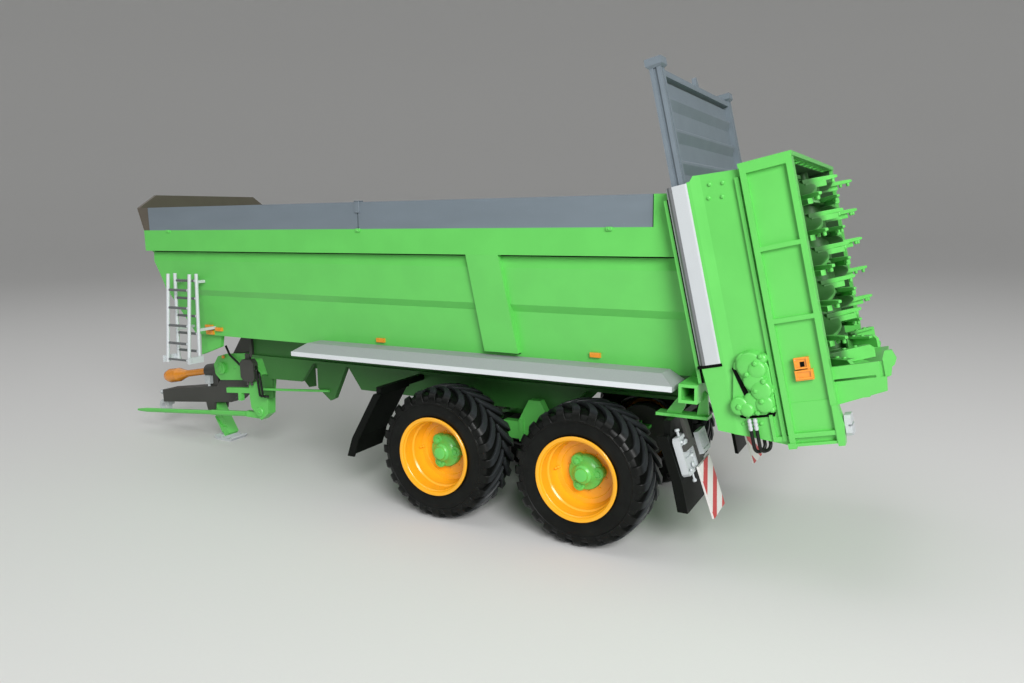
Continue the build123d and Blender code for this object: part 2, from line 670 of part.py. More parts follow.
def rim():
    """Deep dished rim: rolled flanges, cone and a disc with a ring of holes."""
    bead = RIM_RADIUS - 0.6
    inside = RIM_RADIUS - 2.2
    solid = spun([
        (RIM_OUT, RIM_RADIUS),
        (RIM_OUT, RIM_RADIUS - 1.1),
        (RIM_OUT - 0.9, RIM_RADIUS - 1.6),
        (DISC_FRONT + 2.8, 9.1),
        (DISC_FRONT + 2.4, 8.6),
        (DISC_FRONT + 0.5, 7.6),
        (DISC_FRONT, HUB_RADIUS),
        (DISC_FRONT, HUB_SEAT),
        (DISC_REAR, HUB_SEAT),
        (DISC_REAR - 0.2, 7.9),
        (DISC_REAR + 0.7, 8.6),
        (DISC_REAR + 2.2, 9.7),
        (DISC_REAR + 1.8, inside),
        (-2.0, inside),
        (1.0 - RIM_OUT, RIM_RADIUS - 1.6),
        (1.0 - RIM_OUT, bead),
        (RIM_OUT - 1.3, bead),
        (RIM_OUT - 0.4, RIM_RADIUS),
    ])
    hole = bar_y(RIM_HOLE_RING, 0, RIM_HOLE_RADIUS, (0, 4))
    return solid - [Rot(0, 360 / RIM_HOLES * turn, 0) * hole for turn in range(RIM_HOLES)]


def hub():
    """Planetary hub: lobed drum, cone and round cap, bored for the axle stub."""
    bore = AXLE_RADIUS + RUN_GAP
    solid = spun([
        (HUB_REAR, bore),
        (HUB_REAR, HUB_SEAT - 0.4),
        (DISC_REAR, HUB_SEAT),
        (DISC_FRONT, HUB_SEAT),
        (DISC_FRONT, HUB_RADIUS),
        (DISC_FRONT + 0.7, HUB_RADIUS - 0.1),
        (DISC_FRONT + 1.2, 3.7),
        (DISC_FRONT + 1.7, 3.0),
        (DISC_FRONT + 1.9, HUB_CAP_RADIUS),
        (HUB_OUT - 0.4, HUB_CAP_RADIUS),
        (HUB_OUT, HUB_CAP_RADIUS - 0.5),
        (HUB_OUT, 0.0),
        (HUB_BORE_END, 0.0),
        (HUB_BORE_END, bore),
    ])
    lobe = bar_y(HUB_RADIUS - 1.7, 0, 1.5, (DISC_FRONT + 0.3, DISC_FRONT + 1.5))
    return solid + [Rot(0, 360 / HUB_LOBES * turn + 30, 0) * lobe for turn in range(HUB_LOBES)]


HUB_REAR = -6.0
HUB_BORE_END = 3.0
DRUM_WIDTH = 5.8


def axle(x):
    """Square beam with a brake drum and a turned stub at each end."""
    beam_half = TYRE_MID_Y + HUB_REAR - SEAT_GAP
    half = AXLE_SQUARE / 2
    beam = block((x - half, x + half), (-beam_half, beam_half), (TYRE_RADIUS - half, TYRE_RADIUS + half))
    drum = bar_y(x, TYRE_RADIUS, DRUM_RADIUS, (beam_half - DRUM_WIDTH, beam_half))
    stub_end = TYRE_MID_Y + HUB_BORE_END - SEAT_GAP
    return beam + pair(drum) + bar_y(x, TYRE_RADIUS, AXLE_RADIUS, (-stub_end, stub_end))


# ---- chassis ----
RAIL_TOP = BOTTOM_Z
RAIL_BOTTOM = BOTTOM_Z - RAIL_HEIGHT
HANGER_FOOT = 32.0
LUG_OUT = 1.4
CROSS_MEMBERS = [-24.0, WHEELBASE / 2, 75.0, 110.0, RAIL_FRONT_X - 4]
# plates and lugs under the rails: x, z
RAIL_PLATE = [(146.5, RAIL_BOTTOM), (120.0, RAIL_BOTTOM), (126.0, 32.8), (143.5, 32.4)]
FRONT_LUG = [(148.0, 33.5), (148.4, 27.0), (145.5, 24.0), (142.4, 24.6), (142.4, 33.5)]
REAR_LUG = [
    (104.0, RAIL_BOTTOM + 0.1),
    (118.4, RAIL_BOTTOM + 0.1),
    (118.4, 31.0),
    (112.5, 26.6),
    (110.5, 27.6),
]
# side plate that carries the bogie: x, z
HANGER_OUTLINE = [
    (WHEELBASE / 2 - 16.2, RAIL_BOTTOM),
    (104.0, RAIL_BOTTOM),
    (98.0, HANGER_FOOT),
    (WHEELBASE / 2 - 8.0, HANGER_FOOT),
]
BRAKE_ROD_RADIUS = 0.5


def chassis():
    """Two channel rails with hangers for the bogie, side plates and cross members."""
    web_y = (RAIL_Y - 0.7, RAIL_Y + 0.7)
    length = (CROSS_TUBE_X + CROSS_TUBE / 2, RAIL_FRONT_X)
    web = block(length, web_y, (RAIL_BOTTOM, RAIL_TOP))
    for z in (RAIL_BOTTOM, RAIL_TOP - 1.0):
        web += block(length, (RAIL_Y - RAIL_WIDTH / 2, RAIL_Y + RAIL_WIDTH / 2), (z, z + 1.0))
    hanger = side_prism(HANGER_OUTLINE, web_y)
    plate = side_prism(RAIL_PLATE, (RAIL_Y + 0.2, RAIL_Y + RAIL_WIDTH / 2))
    front_lug = side_prism(FRONT_LUG, (RAIL_Y + 0.2, RAIL_Y + LUG_OUT))
    rear_lug = side_prism(REAR_LUG, (web_y[0], RAIL_Y + LUG_OUT))
    solid = pair(web + hanger + plate + front_lug + rear_lug)
    solid -= bar_y(WHEELBASE / 2, BOGIE_PIVOT_Z, BOGIE_PIVOT_RADIUS + RUN_GAP, (-20, 20))
    for x in CROSS_MEMBERS:
        solid += block((x - 1.5, x + 1.5), (-RAIL_Y, RAIL_Y), (RAIL_TOP - 6, RAIL_TOP - 1.0))
    return solid


def brake_rod():
    """Thin linkage rod between the two lugs under the left rail."""
    y = RAIL_Y + LUG_OUT + BRAKE_ROD_RADIUS
    return rod((112.5, y, 30.4), (146.6, y, 27.8), BRAKE_ROD_RADIUS)


def cross_tube():
    """Square tube across the rear, open at both ends."""
    half = 37.2
    x = (CROSS_TUBE_X - CROSS_TUBE / 2, CROSS_TUBE_X + CROSS_TUBE / 2)
    z = (RAIL_TOP - CROSS_TUBE, RAIL_TOP)
    hole_x = (x[0] + CROSS_TUBE_WALL, x[1] - CROSS_TUBE_WALL)
    hole_z = (z[0] + CROSS_TUBE_WALL, z[1] - CROSS_TUBE_WALL)
    return block(x, (-half, half), z) - block(hole_x, (-half - 1, half + 1), hole_z)


# feet of the tail: x, z of the plate forward of the tube and of the one behind it
TAIL_FRONT = [(-28.7, 47.2), (-26.4, 45.4), (-23.4, 41.2), (-27.6, 41.2), (-28.7, 43.6)]
TAIL_REAR = [(-33.7, 48.0), (-34.6, 47.0), (-35.0, 41.2), (-31.8, 41.2), (-32.6, 45.8), (-33.7, 45.8)]
TAIL_Y = (29.4, 30.4)
TAIL_SHELF_Y = (27.6, 32.0)
TAIL_SHELF_Z = (RAIL_BOTTOM + 0.1, RAIL_BOTTOM + 0.9)


def tail_bracket(side):
    """Gusset plates on the cross tube with a shelf that carries the lamps."""
    solid = side_prism(TAIL_FRONT, TAIL_Y) + side_prism(TAIL_REAR, TAIL_Y)
    solid += block((-35.2, -21.0), TAIL_SHELF_Y, TAIL_SHELF_Z)
    return solid if side > 0 else mirrored(solid)


# tail frame: behind the mudguard, leaning back with it; x = 0 on its front, z = 0 on top
TAIL_X = -TYRE_RADIUS - 6.15
TAIL_Z = TYRE_RADIUS + 14.65
TAIL_LEAN = 18.0
LAMP_THICKNESS = 1.9
STRIP_THICKNESS = 0.8
BOARD_WIDTH = 11.6
BOARD_HEIGHT = 14.6
PANEL_THICKNESS = 0.7
BOARD_ROLL = 2.0


def at_tail(shape, side):
    shape = Pos(TAIL_X, 0, TAIL_Z) * Rot(0, TAIL_LEAN, 0) * shape
    return shape if side > 0 else mirrored(shape)


def lamp_bracket(side):
    """Strip that hangs from the shelf behind the mudguard: lamps ahead, board behind."""
    x = (-LAMP_THICKNESS - STRIP_THICKNESS, -LAMP_THICKNESS)
    solid = block(x, (18.4, 36.0), (-4.0, -2.4))
    solid += block(x, (28.0, 31.6), (-4.0, 8.0))
    solid += block(x, (24.0, 27.4), (-12.4, -2.4))
    return at_tail(solid, side) & block((-60, 0), (-40, 40), (0, TAIL_SHELF_Z[0]))


def tail_lamp(side):
    """Bright lamp body with framed lenses, and a smaller one further in."""
    x = (-LAMP_THICKNESS, 0.0)
    body = block(x, (27.4, 36.8), (-10.6, 0.0))
    body = chamfer(body.edges().filter_by(Axis.X), 0.8)
    for low, high in ((-9.6, -6.8), (-6.0, -4.4), (-2.0, -0.8)):
        body -= block((x[0] - 1, x[0] + 0.5), (28.4, 35.8), (low, high))
    rear = (x[0] - STRIP_THICKNESS - 1.3, x[0] - STRIP_THICKNESS)
    small = block(rear, (19.6, 26.6), (-7.4, -1.2))
    small -= block((rear[0] - 1, rear[0] + 0.4), (20.6, 25.6), (-6.4, -2.2))
    return [at_tail(body, side), at_tail(small, side)]


def warning_board(side):
    """Upright board that hangs from the strip, rolled a little inwards."""
    flat = block((-PANEL_THICKNESS, 0), (-BOARD_WIDTH, 0), (-BOARD_HEIGHT, 0))
    rear = -LAMP_THICKNESS - STRIP_THICKNESS
    return at_tail(Pos(rear, 32.0, -9.5) * Rot(-BOARD_ROLL, 0, 0) * flat, side)


BOGIE_PIVOT_Z = TYRE_RADIUS + AXLE_SQUARE / 2 + 10.8
BOGIE_PIVOT_RADIUS = 1.6
LEAF_COUNT = 6


def bogie():
    """Leaf springs between the axles, one each side, clamped under a cross pivot."""
    y = (13.0, 16.0)
    mid = WHEELBASE / 2
    top = TYRE_RADIUS + AXLE_SQUARE / 2
    leaf_tall = 0.95
    spring = block((-4.0, WHEELBASE + 4.0), y, (top, top + leaf_tall))
    for leaf in range(1, LEAF_COUNT):
        back = leaf * (WHEELBASE / 2 - 4.0) / LEAF_COUNT
        z = top + leaf * leaf_tall
        spring += block((-4.0 + back, WHEELBASE + 4.0 - back), y, (z, z + leaf_tall))
    high = top + LEAF_COUNT * leaf_tall
    clamp_top = BOGIE_PIVOT_Z + 2.4
    clamp = side_prism([(mid - 6, high), (mid + 6, high), (mid + 2, clamp_top), (mid - 2, clamp_top)], y)
    for end in (-1, 1):
        x = mid + end * 4.6
        clamp += block((x - 0.7, x + 0.7), (y[0] - 0.6, y[1] + 0.6), (top - 0.6, high + 0.8))
    pivot = bar_y(mid, BOGIE_PIVOT_Z, BOGIE_PIVOT_RADIUS, (-y[1], y[1]))
    return pair(spring + clamp) + pivot


# drawbar side outline: x, z along the top and back along the bottom
DRAWBAR_TOP = [(RAIL_FRONT_X, RAIL_TOP), (RAIL_FRONT_X + 12, RAIL_TOP), (184.0, 24.0), (EYE_X - 4.0, 19.0)]
DRAWBAR_BOTTOM = [(EYE_X - 4.0, 13.4), (176.0, 17.6), (160.0, 30.0), (RAIL_FRONT_X, RAIL_BOTTOM)]
JACK_X = 189.0
JACK_Z = 14.0
JACK_PIN_RADIUS = 0.8
JACK_HALF = 2.6


def drawbar():
    """Welded drawbar: runs down from the rails to the eye, ears for the jack below."""
    half = 4.0
    beam = side_prism([*DRAWBAR_TOP, *DRAWBAR_BOTTOM], (-half, half))
    yoke = block((RAIL_FRONT_X, RAIL_FRONT_X + 1.5), (-RAIL_Y - 1.8, RAIL_Y + 1.8), (RAIL_BOTTOM, RAIL_TOP))
    ear_y = (JACK_HALF + SEAT_GAP, half)
    ear_foot = JACK_Z - 1.6
    ear_outline = [(JACK_X - 3, 17.5), (JACK_X + 3, 17.0), (JACK_X + 1.8, ear_foot), (JACK_X - 1.8, ear_foot)]
    ear = side_prism(ear_outline, ear_y)
    pin = bar_y(JACK_X, JACK_Z, JACK_PIN_RADIUS, (-half, half))
    return beam + yoke + pair(ear) + pin


CHEEK_Y = (4.0, 5.2)
# x, z from the rear top forwards
CHEEK_OUTLINE = [
    (RAIL_FRONT_X + 1.5, RAIL_BOTTOM + 0.5),
    (176.0, 38.8),
    (180.8, 37.4),
    (183.6, 33.6),
    (183.0, 29.6),
    (180.2, 27.2),
    (166.0, 28.4),
    (RAIL_FRONT_X + 1.5, 33.0),
]


def drawbar_cheeks():
    """Round-fronted plates that hold the drawbar on both sides."""
    cheek = side_prism(CHEEK_OUTLINE, CHEEK_Y)
    cheek += boss(178.4, 32.6, 2.2, (CHEEK_Y[0], CHEEK_Y[1] + 0.8), 0.3)
    cheek += block((RAIL_FRONT_X + 1.5, RAIL_FRONT_X + 2.7), CHEEK_Y, (33.0, 48.0))
    return cheek, mirrored(cheek)


def towing_eye():
    """Ring on a short shank under the drawbar's nose."""
    y = (-EYE_THICKNESS / 2, EYE_THICKNESS / 2)
    ring = bar_y(EYE_X, EYE_Z, EYE_RADIUS, y)
    shank = block((EYE_X - 4.0, EYE_X - 1.4), (-1.6, 1.6), (EYE_Z + 1.0, 18.0))
    return ring + shank - bar_y(EYE_X, EYE_Z, EYE_HOLE_RADIUS, (y[0] - 2, y[1] + 2))


PTO_FOOT = (193.1, 0.0, 29.2)
PTO_AXIS = (27.9, 0.0, -4.8)
PTO_LONG = 27.6
# guard's outside: radius, distance from its foot
PTO_PROFILE = [(1.5, 0.0), (1.5, 14.0), (2.2, 17.0), (3.1, 20.0), (3.2, 25.5), (2.6, PTO_LONG)]


def pto_guard():
    """Bell-mouthed guard over the drive shaft's free end."""
    mouth = [(PTO_PROFILE[-1][0] - 1.0, PTO_LONG), (1.6, PTO_LONG - 3.6), (0.0, PTO_LONG - 3.6)]
    outline = [(0.0, 0.0), *PTO_PROFILE, *mouth]
    solid = revolve(Plane.XZ * Polygon(*outline, align=None), Axis.Z)
    return Plane(origin=Vector(*PTO_FOOT), z_dir=Vector(*PTO_AXIS)) * solid


def pto_gearbox():
    """Bearing housing of the drive shaft on top of the drawbar with its cradle."""
    foot = Vector(*PTO_FOOT)
    back = foot - Vector(*PTO_AXIS).normalized() * 8.5
    solid = rod(tuple(back), tuple(foot), 3.0)
    x = (foot.X - 8.6, foot.X - 1.9)
    cradle = [(x[0], 24.0), (x[1], 23.0), (x[1], foot.Z - 0.4), (x[0], foot.Z + 0.6)]
    return solid + side_prism(cradle, (-CRADLE_HALF, CRADLE_HALF))


CRADLE_HALF = 2.8


def front_fittings():
    """Bright hose couplings on the left of the shaft's cradle."""
    x = PTO_FOOT[0] - 5.2
    body = block((x - 0.2, x + 3.0), (CRADLE_HALF, CRADLE_HALF + 1.6), (24.6, 28.0))
    body += rod((x + 1.4, CRADLE_HALF + 0.8, 24.9), (x + 1.4, CRADLE_HALF + 0.8, 23.4), 0.6)
    return body


ROD_Y = 8.5


def steering_rod():
    """Long rod beside the drawbar, tapered at its free end."""
    foot = Vector(161.7, ROD_Y, 15.2)
    tip = Vector(ROD_TIP_X, ROD_Y, 9.4)
    long = (tip - foot).length
    stout = [(0, 0), (1.15, 0), (1.15, long * 0.3)]
    slim = [(0.95, long * 0.32), (0.95, long - 6), (0.5, long), (0, long)]
    outline = [*stout, *slim]
    solid = revolve(Plane.XZ * Polygon(*outline, align=None), Axis.Z)
    return Plane(origin=foot, z_dir=tip - foot) * solid


# x, z from the rear top forwards
BRACKET_OUTLINE = [
    (144.0, RAIL_BOTTOM),
    (152.0, RAIL_BOTTOM),
    (157.4, 33.0),
    (156.8, 22.0),
    (156.4, 18.8),
    (151.4, 14.2),
    (147.2, 17.2),
    (146.6, 24.0),
]


def steering_bracket():
    """Hanging bracket with the rod's clevis and an arm that reaches forward."""
    y = (7.0, 11.0)
    solid = side_prism(BRACKET_OUTLINE, y)
    solid += block((152.4, 161.4), (ROD_Y - 1.0, ROD_Y + 1.0), (14.2, 16.6))
    solid += boss(151.6, 17.6, 2.0, (y[0], y[1] + 0.6), 0.3)
    arm = side_prism([(155.0, 25.0), (155.0, 27.2), (170.3, 25.9), (170.3, 23.8)], (9.4, y[1]))
    foot = block((161.8, 163.6), (9.4, y[1]), (21.2, 25.0))
    return solid + arm + foot


def jack():
    """Slanted parking leg hinged under the drawbar."""
    foot = jack_ankle()
    leg = side_prism(
        [(JACK_X - 2.2, JACK_Z), (JACK_X + 2.2, JACK_Z), (foot.X + 2.2, foot.Z), (foot.X - 2.2, foot.Z)],
        (-JACK_HALF, JACK_HALF),
    )
    leg += bar_y(JACK_X, JACK_Z, 2.2, (-JACK_HALF, JACK_HALF))
    panel_top = [(JACK_X - 2.8, JACK_Z - 3.4), (JACK_X + 0.6, JACK_Z - 3.4)]
    panel_foot = [(foot.X + 2.0, foot.Z + 2.6), (foot.X - 1.4, foot.Z + 2.6)]
    leg -= side_prism([*panel_top, *panel_foot], (JACK_HALF - 0.6, JACK_HALF + 1))
    leg += bar_y(foot.X, foot.Z, 1.5, (-JACK_HALF, JACK_HALF))
    return leg - bar_y(JACK_X, JACK_Z, JACK_PIN_RADIUS + RUN_GAP, (-6, 6))


def jack_ankle():
    """Where the leg meets its foot plate."""
    return Vector(JACK_X - 6.6, 0, 2.9)


# front half of the foot plate's section: distance from its middle, height
SOLE_HALF = [(4.4, 0.0), (5.6, 1.3), (5.0, 1.9), (3.9, 0.9), (1.6, 0.9), (1.2, 2.0)]


def jack_foot():
    """Foot plate with turned-up ends and a saddle for the leg."""
    ankle = jack_ankle()
    front = [(ankle.X + out, z) for out, z in SOLE_HALF]
    back = [(ankle.X - out, z) for out, z in reversed(SOLE_HALF)]
    return side_prism([*front, *back], (-4.2, 4.2)) - bar_y(ankle.X, ankle.Z, 1.5, (-5, 5))


# x, z from the rear foot forwards
HOSE_BOX_OUTLINE = [
    (151.0, 31.6),
    (152.4, 30.2),
    (157.0, 30.4),
    (158.4, 31.8),
    (158.6, 37.6),
    (157.2, 39.2),
    (152.6, 39.4),
    (151.2, 38.0),
]


def hose_box():
    """Flat box for the hose ends with cut corners, a tab above and two stubs below."""
    y = (11.0, 13.6)
    solid = side_prism(HOSE_BOX_OUTLINE, y) + block((154.6, 157.0), (y[0], y[0] + 1.0), (39.0, 41.4))
    return solid + [rod((x, y[1] - 1.0, 28.8), (x, y[1] - 1.0, 30.8), 0.6) for x in (153.4, 155.6)]


def front_hoses():
    """Hoses beside the box: one over the cheek, two down to the linkage lug."""
    over = pipe([(174.6, 6.0, 42.5), (172.6, 6.0, 38.8), (163.4, 6.6, 33.2), (159.2, 12.2, 33.0)], 0.45, 1.2)
    down = []
    for shift in (0.0, 1.6):
        points = [
            (150.7, 12.3, 36.6 - shift), (148.4 - shift, 14.6, 36.2 - shift), (147.2 - shift, 14.6, 25.2),
            (146.0 - shift, 12.75, 25.1),
        ]
        down.append(pipe(points, 0.45, 1.0))
    return [over, *down]


# ---- small fittings ----
SKIRT_X = (-27.2, 105.9)
SKIRT_INNER_Y = 26.4
SKIRT_OUTER_Y = 38.0
SKIRT_TOP_Y = 33.4
SKIRT_TOP_Z = BOTTOM_Z + 1.6
SKIRT_LIP_Z = 48.5
SKIRT_THICKNESS = 0.9


def skirt_form(inset):
    """Solid under the strip's outer faces, or under faces set in by `inset`."""
    foot = SKIRT_LIP_Z - 1
    knee = SKIRT_LIP_Z + 1.4
    top = SKIRT_TOP_Z - inset
    rear = SKIRT_X[0] + inset
    front = SKIRT_X[1] - inset
    side = SKIRT_OUTER_Y - inset
    ends = [(rear, foot), (front, foot), (front, knee), (front - 3.2, top), (rear + 4.2, top), (rear, knee)]
    across = [(0, foot), (side, foot), (side, knee), (SKIRT_TOP_Y - inset / 2, top), (0, top)]
    span = (SKIRT_X[0] - 1, SKIRT_X[1] + 1)
    return side_prism(ends, (0, SKIRT_OUTER_Y + 2)) & end_prism(across, span)


def skirt(side):
    """Hipped cover strip over the wheels: flat top, slanted faces, short lip."""
    solid = skirt_form(0) - skirt_form(SKIRT_THICKNESS)
    solid &= block(SKIRT_X, (SKIRT_INNER_Y, SKIRT_OUTER_Y + 1), (SKIRT_LIP_Z, SKIRT_TOP_Z))
    return solid if side > 0 else mirrored(solid)


LADDER_X = (155.8, 167.5)
LADDER_Z = (42.0, 75.0)
LADDER_FIXED_Y = (34.8, 33.4)
LADDER_FOLD_Y = (39.6, 36.4)
LADDER_PIN_RADIUS = 0.4
RAIL_ROD = 0.65
RUNG_ROD = 0.5


def ladder_half(y, steps):
    """Two round rails and their rungs between the given foot and top y."""
    solid = None
    for x in LADDER_X:
        rail = rod((x, y[0], LADDER_Z[0]), (x, y[1], LADDER_Z[1]), RAIL_ROD)
        solid = rail if solid is None else solid + rail
    for share in steps:
        z = LADDER_Z[0] + (LADDER_Z[1] - LADDER_Z[0]) * share
        step_y = y[0] + (y[1] - y[0]) * share
        solid += rod((LADDER_X[0], step_y, z), (LADDER_X[1], step_y, z), RUNG_ROD)
    return solid


def side_y(z):
    """Half width of the body's outer side at a height below the belt."""
    for (y0, z0), (y1, z1) in zip(SIDE_OUTLINE, SIDE_OUTLINE[1:]):
        if z0 <= z <= z1:
            return y0 + (y1 - y0) * (z - z0) / (z1 - z0)
    return HALF_WIDTH


def fold_pin(reach, radius):
    """Round bar on the folding axis that reaches past both rails."""
    y = LADDER_FOLD_Y[0]
    axis = LADDER_Z[0] + 1.2
    return rod((LADDER_X[0] - reach, y, axis), (LADDER_X[1] + reach, y, axis), radius)


def ladder_fixed():
    """Inner ladder half with its stays to the body and the hinge ears."""
    solid = ladder_half(LADDER_FIXED_Y, (0.12, 0.32, 0.52, 0.72, 0.92))
    for z in (54.0, 72.0):
        for x in LADDER_X:
            share = (z - LADDER_Z[0]) / (LADDER_Z[1] - LADDER_Z[0])
            reach = LADDER_FIXED_Y[0] + (LADDER_FIXED_Y[1] - LADDER_FIXED_Y[0]) * share
            solid += block((x - 0.5, x + 0.5), (side_y(z + 0.5) + 0.05, reach), (z - 0.5, z + 0.5))
    for x in (LADDER_X[0] - RAIL_ROD - 0.9, LADDER_X[1] + RAIL_ROD + 0.3):
        ear_y = (LADDER_FIXED_Y[0] - 0.6, LADDER_FOLD_Y[0] + 1.0)
        solid += block((x, x + 0.6), ear_y, (LADDER_Z[0], LADDER_Z[0] + 2.4))
    foot_z = LADDER_Z[0] + 1.0
    for x, out in zip(LADDER_X, (-1.5, 1.5)):
        solid += rod((x, LADDER_FIXED_Y[0], foot_z), (x + out, LADDER_FIXED_Y[0], foot_z), 0.5)
    return solid - fold_pin(10.0, LADDER_PIN_RADIUS + RUN_GAP)


def ladder_fold():
    """Outer ladder half, folded up; it turns down about its foot pin."""
    solid = ladder_half(LADDER_FOLD_Y, (0.22, 0.42, 0.62, 0.82))
    return solid + fold_pin(RAIL_ROD + 1.1, LADDER_PIN_RADIUS)


# flap's outer face: distance past the tread, height over the axle
MUDGUARD_LINE = {
    -1: [(4.3, 15.6), (8.4, 4.0), (10.3, -4.6)],
    1: [(0.9, 17.6), (10.6, 1.8), (12.9, -4.6)],
}
MUDGUARD_THICKNESS = 1.0
MUDGUARD_LIP = 1.8
MUDGUARD_Y = (20.6, 38.0)


def mudguard(end, side):
    """Bent flap behind (-1) or ahead (+1) of the wheels, on a square stay."""
    centre = 0.0 if end < 0 else WHEELBASE
    near = [(centre + end * (TYRE_RADIUS + out), TYRE_RADIUS + up) for out, up in MUDGUARD_LINE[end]]
    far = [(x + end * MUDGUARD_THICKNESS, z) for x, z in reversed(near)]
    flap = side_prism([*near, *far], MUDGUARD_Y)
    inner = [(x - end * MUDGUARD_LIP, z) for x, z in reversed(near)]
    lip = side_prism([*near, *inner], (MUDGUARD_Y[1] - 0.6, MUDGUARD_Y[1]))
    top_x, top_z = near[0]
    hook_x = top_x + end * 0.4
    stay_top = max(top_z + 1.2, RAIL_BOTTOM)
    inner_y = RAIL_Y - 1.0 if end < 0 else RAIL_Y + 0.7
    stay_x = (hook_x - 0.9, hook_x + 0.9)
    stay_end = MUDGUARD_Y[1] - 2.0
    stay = block(stay_x, (inner_y, stay_end), (stay_top - 2.0, stay_top))
    hook = block(stay_x, (MUDGUARD_Y[0], stay_end), (top_z - 0.6, stay_top - 1.0))
    solid = flap + lip + stay + hook
    return solid if side > 0 else mirrored(solid)


def side_block(x, z, out):
    """Low block that follows the slanted side of the tub."""
    low, high = side_y(z[0]), side_y(z[1])
    return end_prism([(low, z[0]), (low + out, z[0]), (high + out, z[1]), (high, z[1])], x)


# orange markers on the tub's side: rear x, front x, foot, top
SIDE_MARKERS = [
    (-2.9, 0.3, 54.1, 55.5),
    (74.3, 77.5, 53.5, 54.9),
    (156.6, 160.3, 51.2, 52.9),
    (156.6, 160.3, 53.2, 55.0),
    (151.6, 155.0, 52.8, 54.2),
]
# and on the housing: rear, front, foot, top in the leaned frame
HOUSING_MARKERS = [(-27.1, -22.9, -1.8, 0.7), (-26.6, -23.3, 1.1, 3.7), (-26.6, -24.6, 0.6, 1.2)]


def side_markers(side):
    """Orange markers low on the tub and on the housing's panel."""
    solids = [side_block((x0, x1), (z0, z1), 0.9) for x0, x1, z0, z1 in SIDE_MARKERS]
    panel = HOUSING_OUTER_Y - 1.2
    stack = None
    for x0, x1, z0, z1 in HOUSING_MARKERS:
        piece = block((x0, x1), (panel, HOUSING_OUTER_Y + 0.1), (z0, z1))
        stack = piece if stack is None else stack + piece
    solids.append(leaned(stack))
    return [solid if side > 0 else mirrored(solid) for solid in solids]


def exported(name, shape):
    shape = Pos(-MIDDLE_X, 0, 0) * shape
    solids = shape.solids()
    shape = solids[0] if len(solids) == 1 else Compound(children=list(solids))
    shape.label = name
    export_step(shape, f"parts/{name}.step")


# rear and front ends of the whole model give its middle, the origin in X
REAR_END = leaned(side_prism(RAIL_BRACKET, (0, 1))).bounding_box().min.X
MIDDLE_X = (REAR_END + ROD_TIP_X) / 2

# beaters: name, side, turn of the flights about the shaft
BEATERS = [("left", 1, 0.0), ("right", -1, 90.0)]


def both(make):
    """Left and right copies of one piece, as solids of one node."""
    pieces = []
    for side in (1, -1):
        made = make(side)
        pieces += made if isinstance(made, list) else [made]
    return group(pieces)


def group(pieces):
    return Compound(children=[solid for piece in pieces for solid in piece.solids()])


def main():
    os.makedirs("parts", exist_ok=True)
    exported("body_shell", body_shell())
    exported("side_boards", both(side_board))
    exported("front_board", front_board())
    exported("floor_conveyor", floor_conveyor())
    exported("door_frame", door_frame())
    exported("door_sheet", door_sheet())
    exported("door_guides", both(door_guide))
    exported("rear_side_plates", both(rear_side_plate))
    exported("beater_housing", beater_housing())
    exported("rear_deck", rear_deck())
    exported("drive_housings", both(gearbox))
    exported("hose_fittings", group([*rear_fittings(1), *rear_fittings(-1), front_fittings()]))
    exported("hoses_rear", both(rear_hoses))
    exported("side_markers", both(side_markers))
    exported("chassis", chassis())
    exported("brake_rod", brake_rod())
    exported("cross_tube", cross_tube())
    exported("tail_brackets", both(tail_bracket))
    exported("lamp_brackets", both(lamp_bracket))
    exported("tail_lamps", both(tail_lamp))
    exported("rear_lamps", both(rear_lamp))
    exported("warning_boards", both(warning_board))
    exported("bogie", bogie())
    exported("axle_front", axle(WHEELBASE))
    exported("axle_rear", axle(0.0))
    exported("drawbar", drawbar())
    exported("drawbar_cheeks", group(drawbar_cheeks()))
    exported("towing_eye", towing_eye())
    exported("pto_guard", pto_guard())
    exported("pto_gearbox", pto_gearbox())
    exported("steering_rod", steering_rod())
    exported("steering_bracket", steering_bracket())
    exported("jack", jack())
    exported("jack_foot", jack_foot())
    exported("hose_box", hose_box())
    exported("hoses_front", group(front_hoses()))
    exported("ladder_fixed", ladder_fixed())
    exported("ladder_fold", ladder_fold())
    exported("skirts", both(skirt))
    exported("mudguards_rear", both(lambda side: mudguard(-1, side)))
    exported("mudguards_front", both(lambda side: mudguard(1, side)))
    for name, side, turned in BEATERS:
        exported(f"beater_{name}", beater(side, turned))
    for name, x, side in WHEELS:
        exported(f"tyre_{name}", at_wheel(tyre(), x, side))
        exported(f"rim_{name}", at_wheel(rim(), x, side))
        exported(f"hub_{name}", at_wheel(hub(), x, side))


if __name__ == "__main__":
    main()
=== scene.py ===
import json
from math import atan2, cos, pi, radians, sin

import bmesh
import bpy
from mathutils import Matrix, Vector


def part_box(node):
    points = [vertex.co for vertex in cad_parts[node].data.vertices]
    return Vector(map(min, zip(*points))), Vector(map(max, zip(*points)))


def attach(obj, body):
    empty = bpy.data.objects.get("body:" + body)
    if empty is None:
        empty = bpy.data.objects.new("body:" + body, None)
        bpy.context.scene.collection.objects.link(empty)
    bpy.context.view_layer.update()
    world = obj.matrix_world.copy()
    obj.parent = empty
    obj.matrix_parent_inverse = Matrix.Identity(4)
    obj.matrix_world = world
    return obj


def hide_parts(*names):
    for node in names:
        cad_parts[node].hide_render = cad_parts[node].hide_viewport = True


bl_info = {
    "name": "Manure Spreader Model",
    "version": (1, 0, 0),
    "blender": (4, 5, 0),
    "location": "3D View > Sidebar > Spreader",
    "description": "Dresses the scale model of a tandem-axle manure spreader",
    "category": "Object",
}

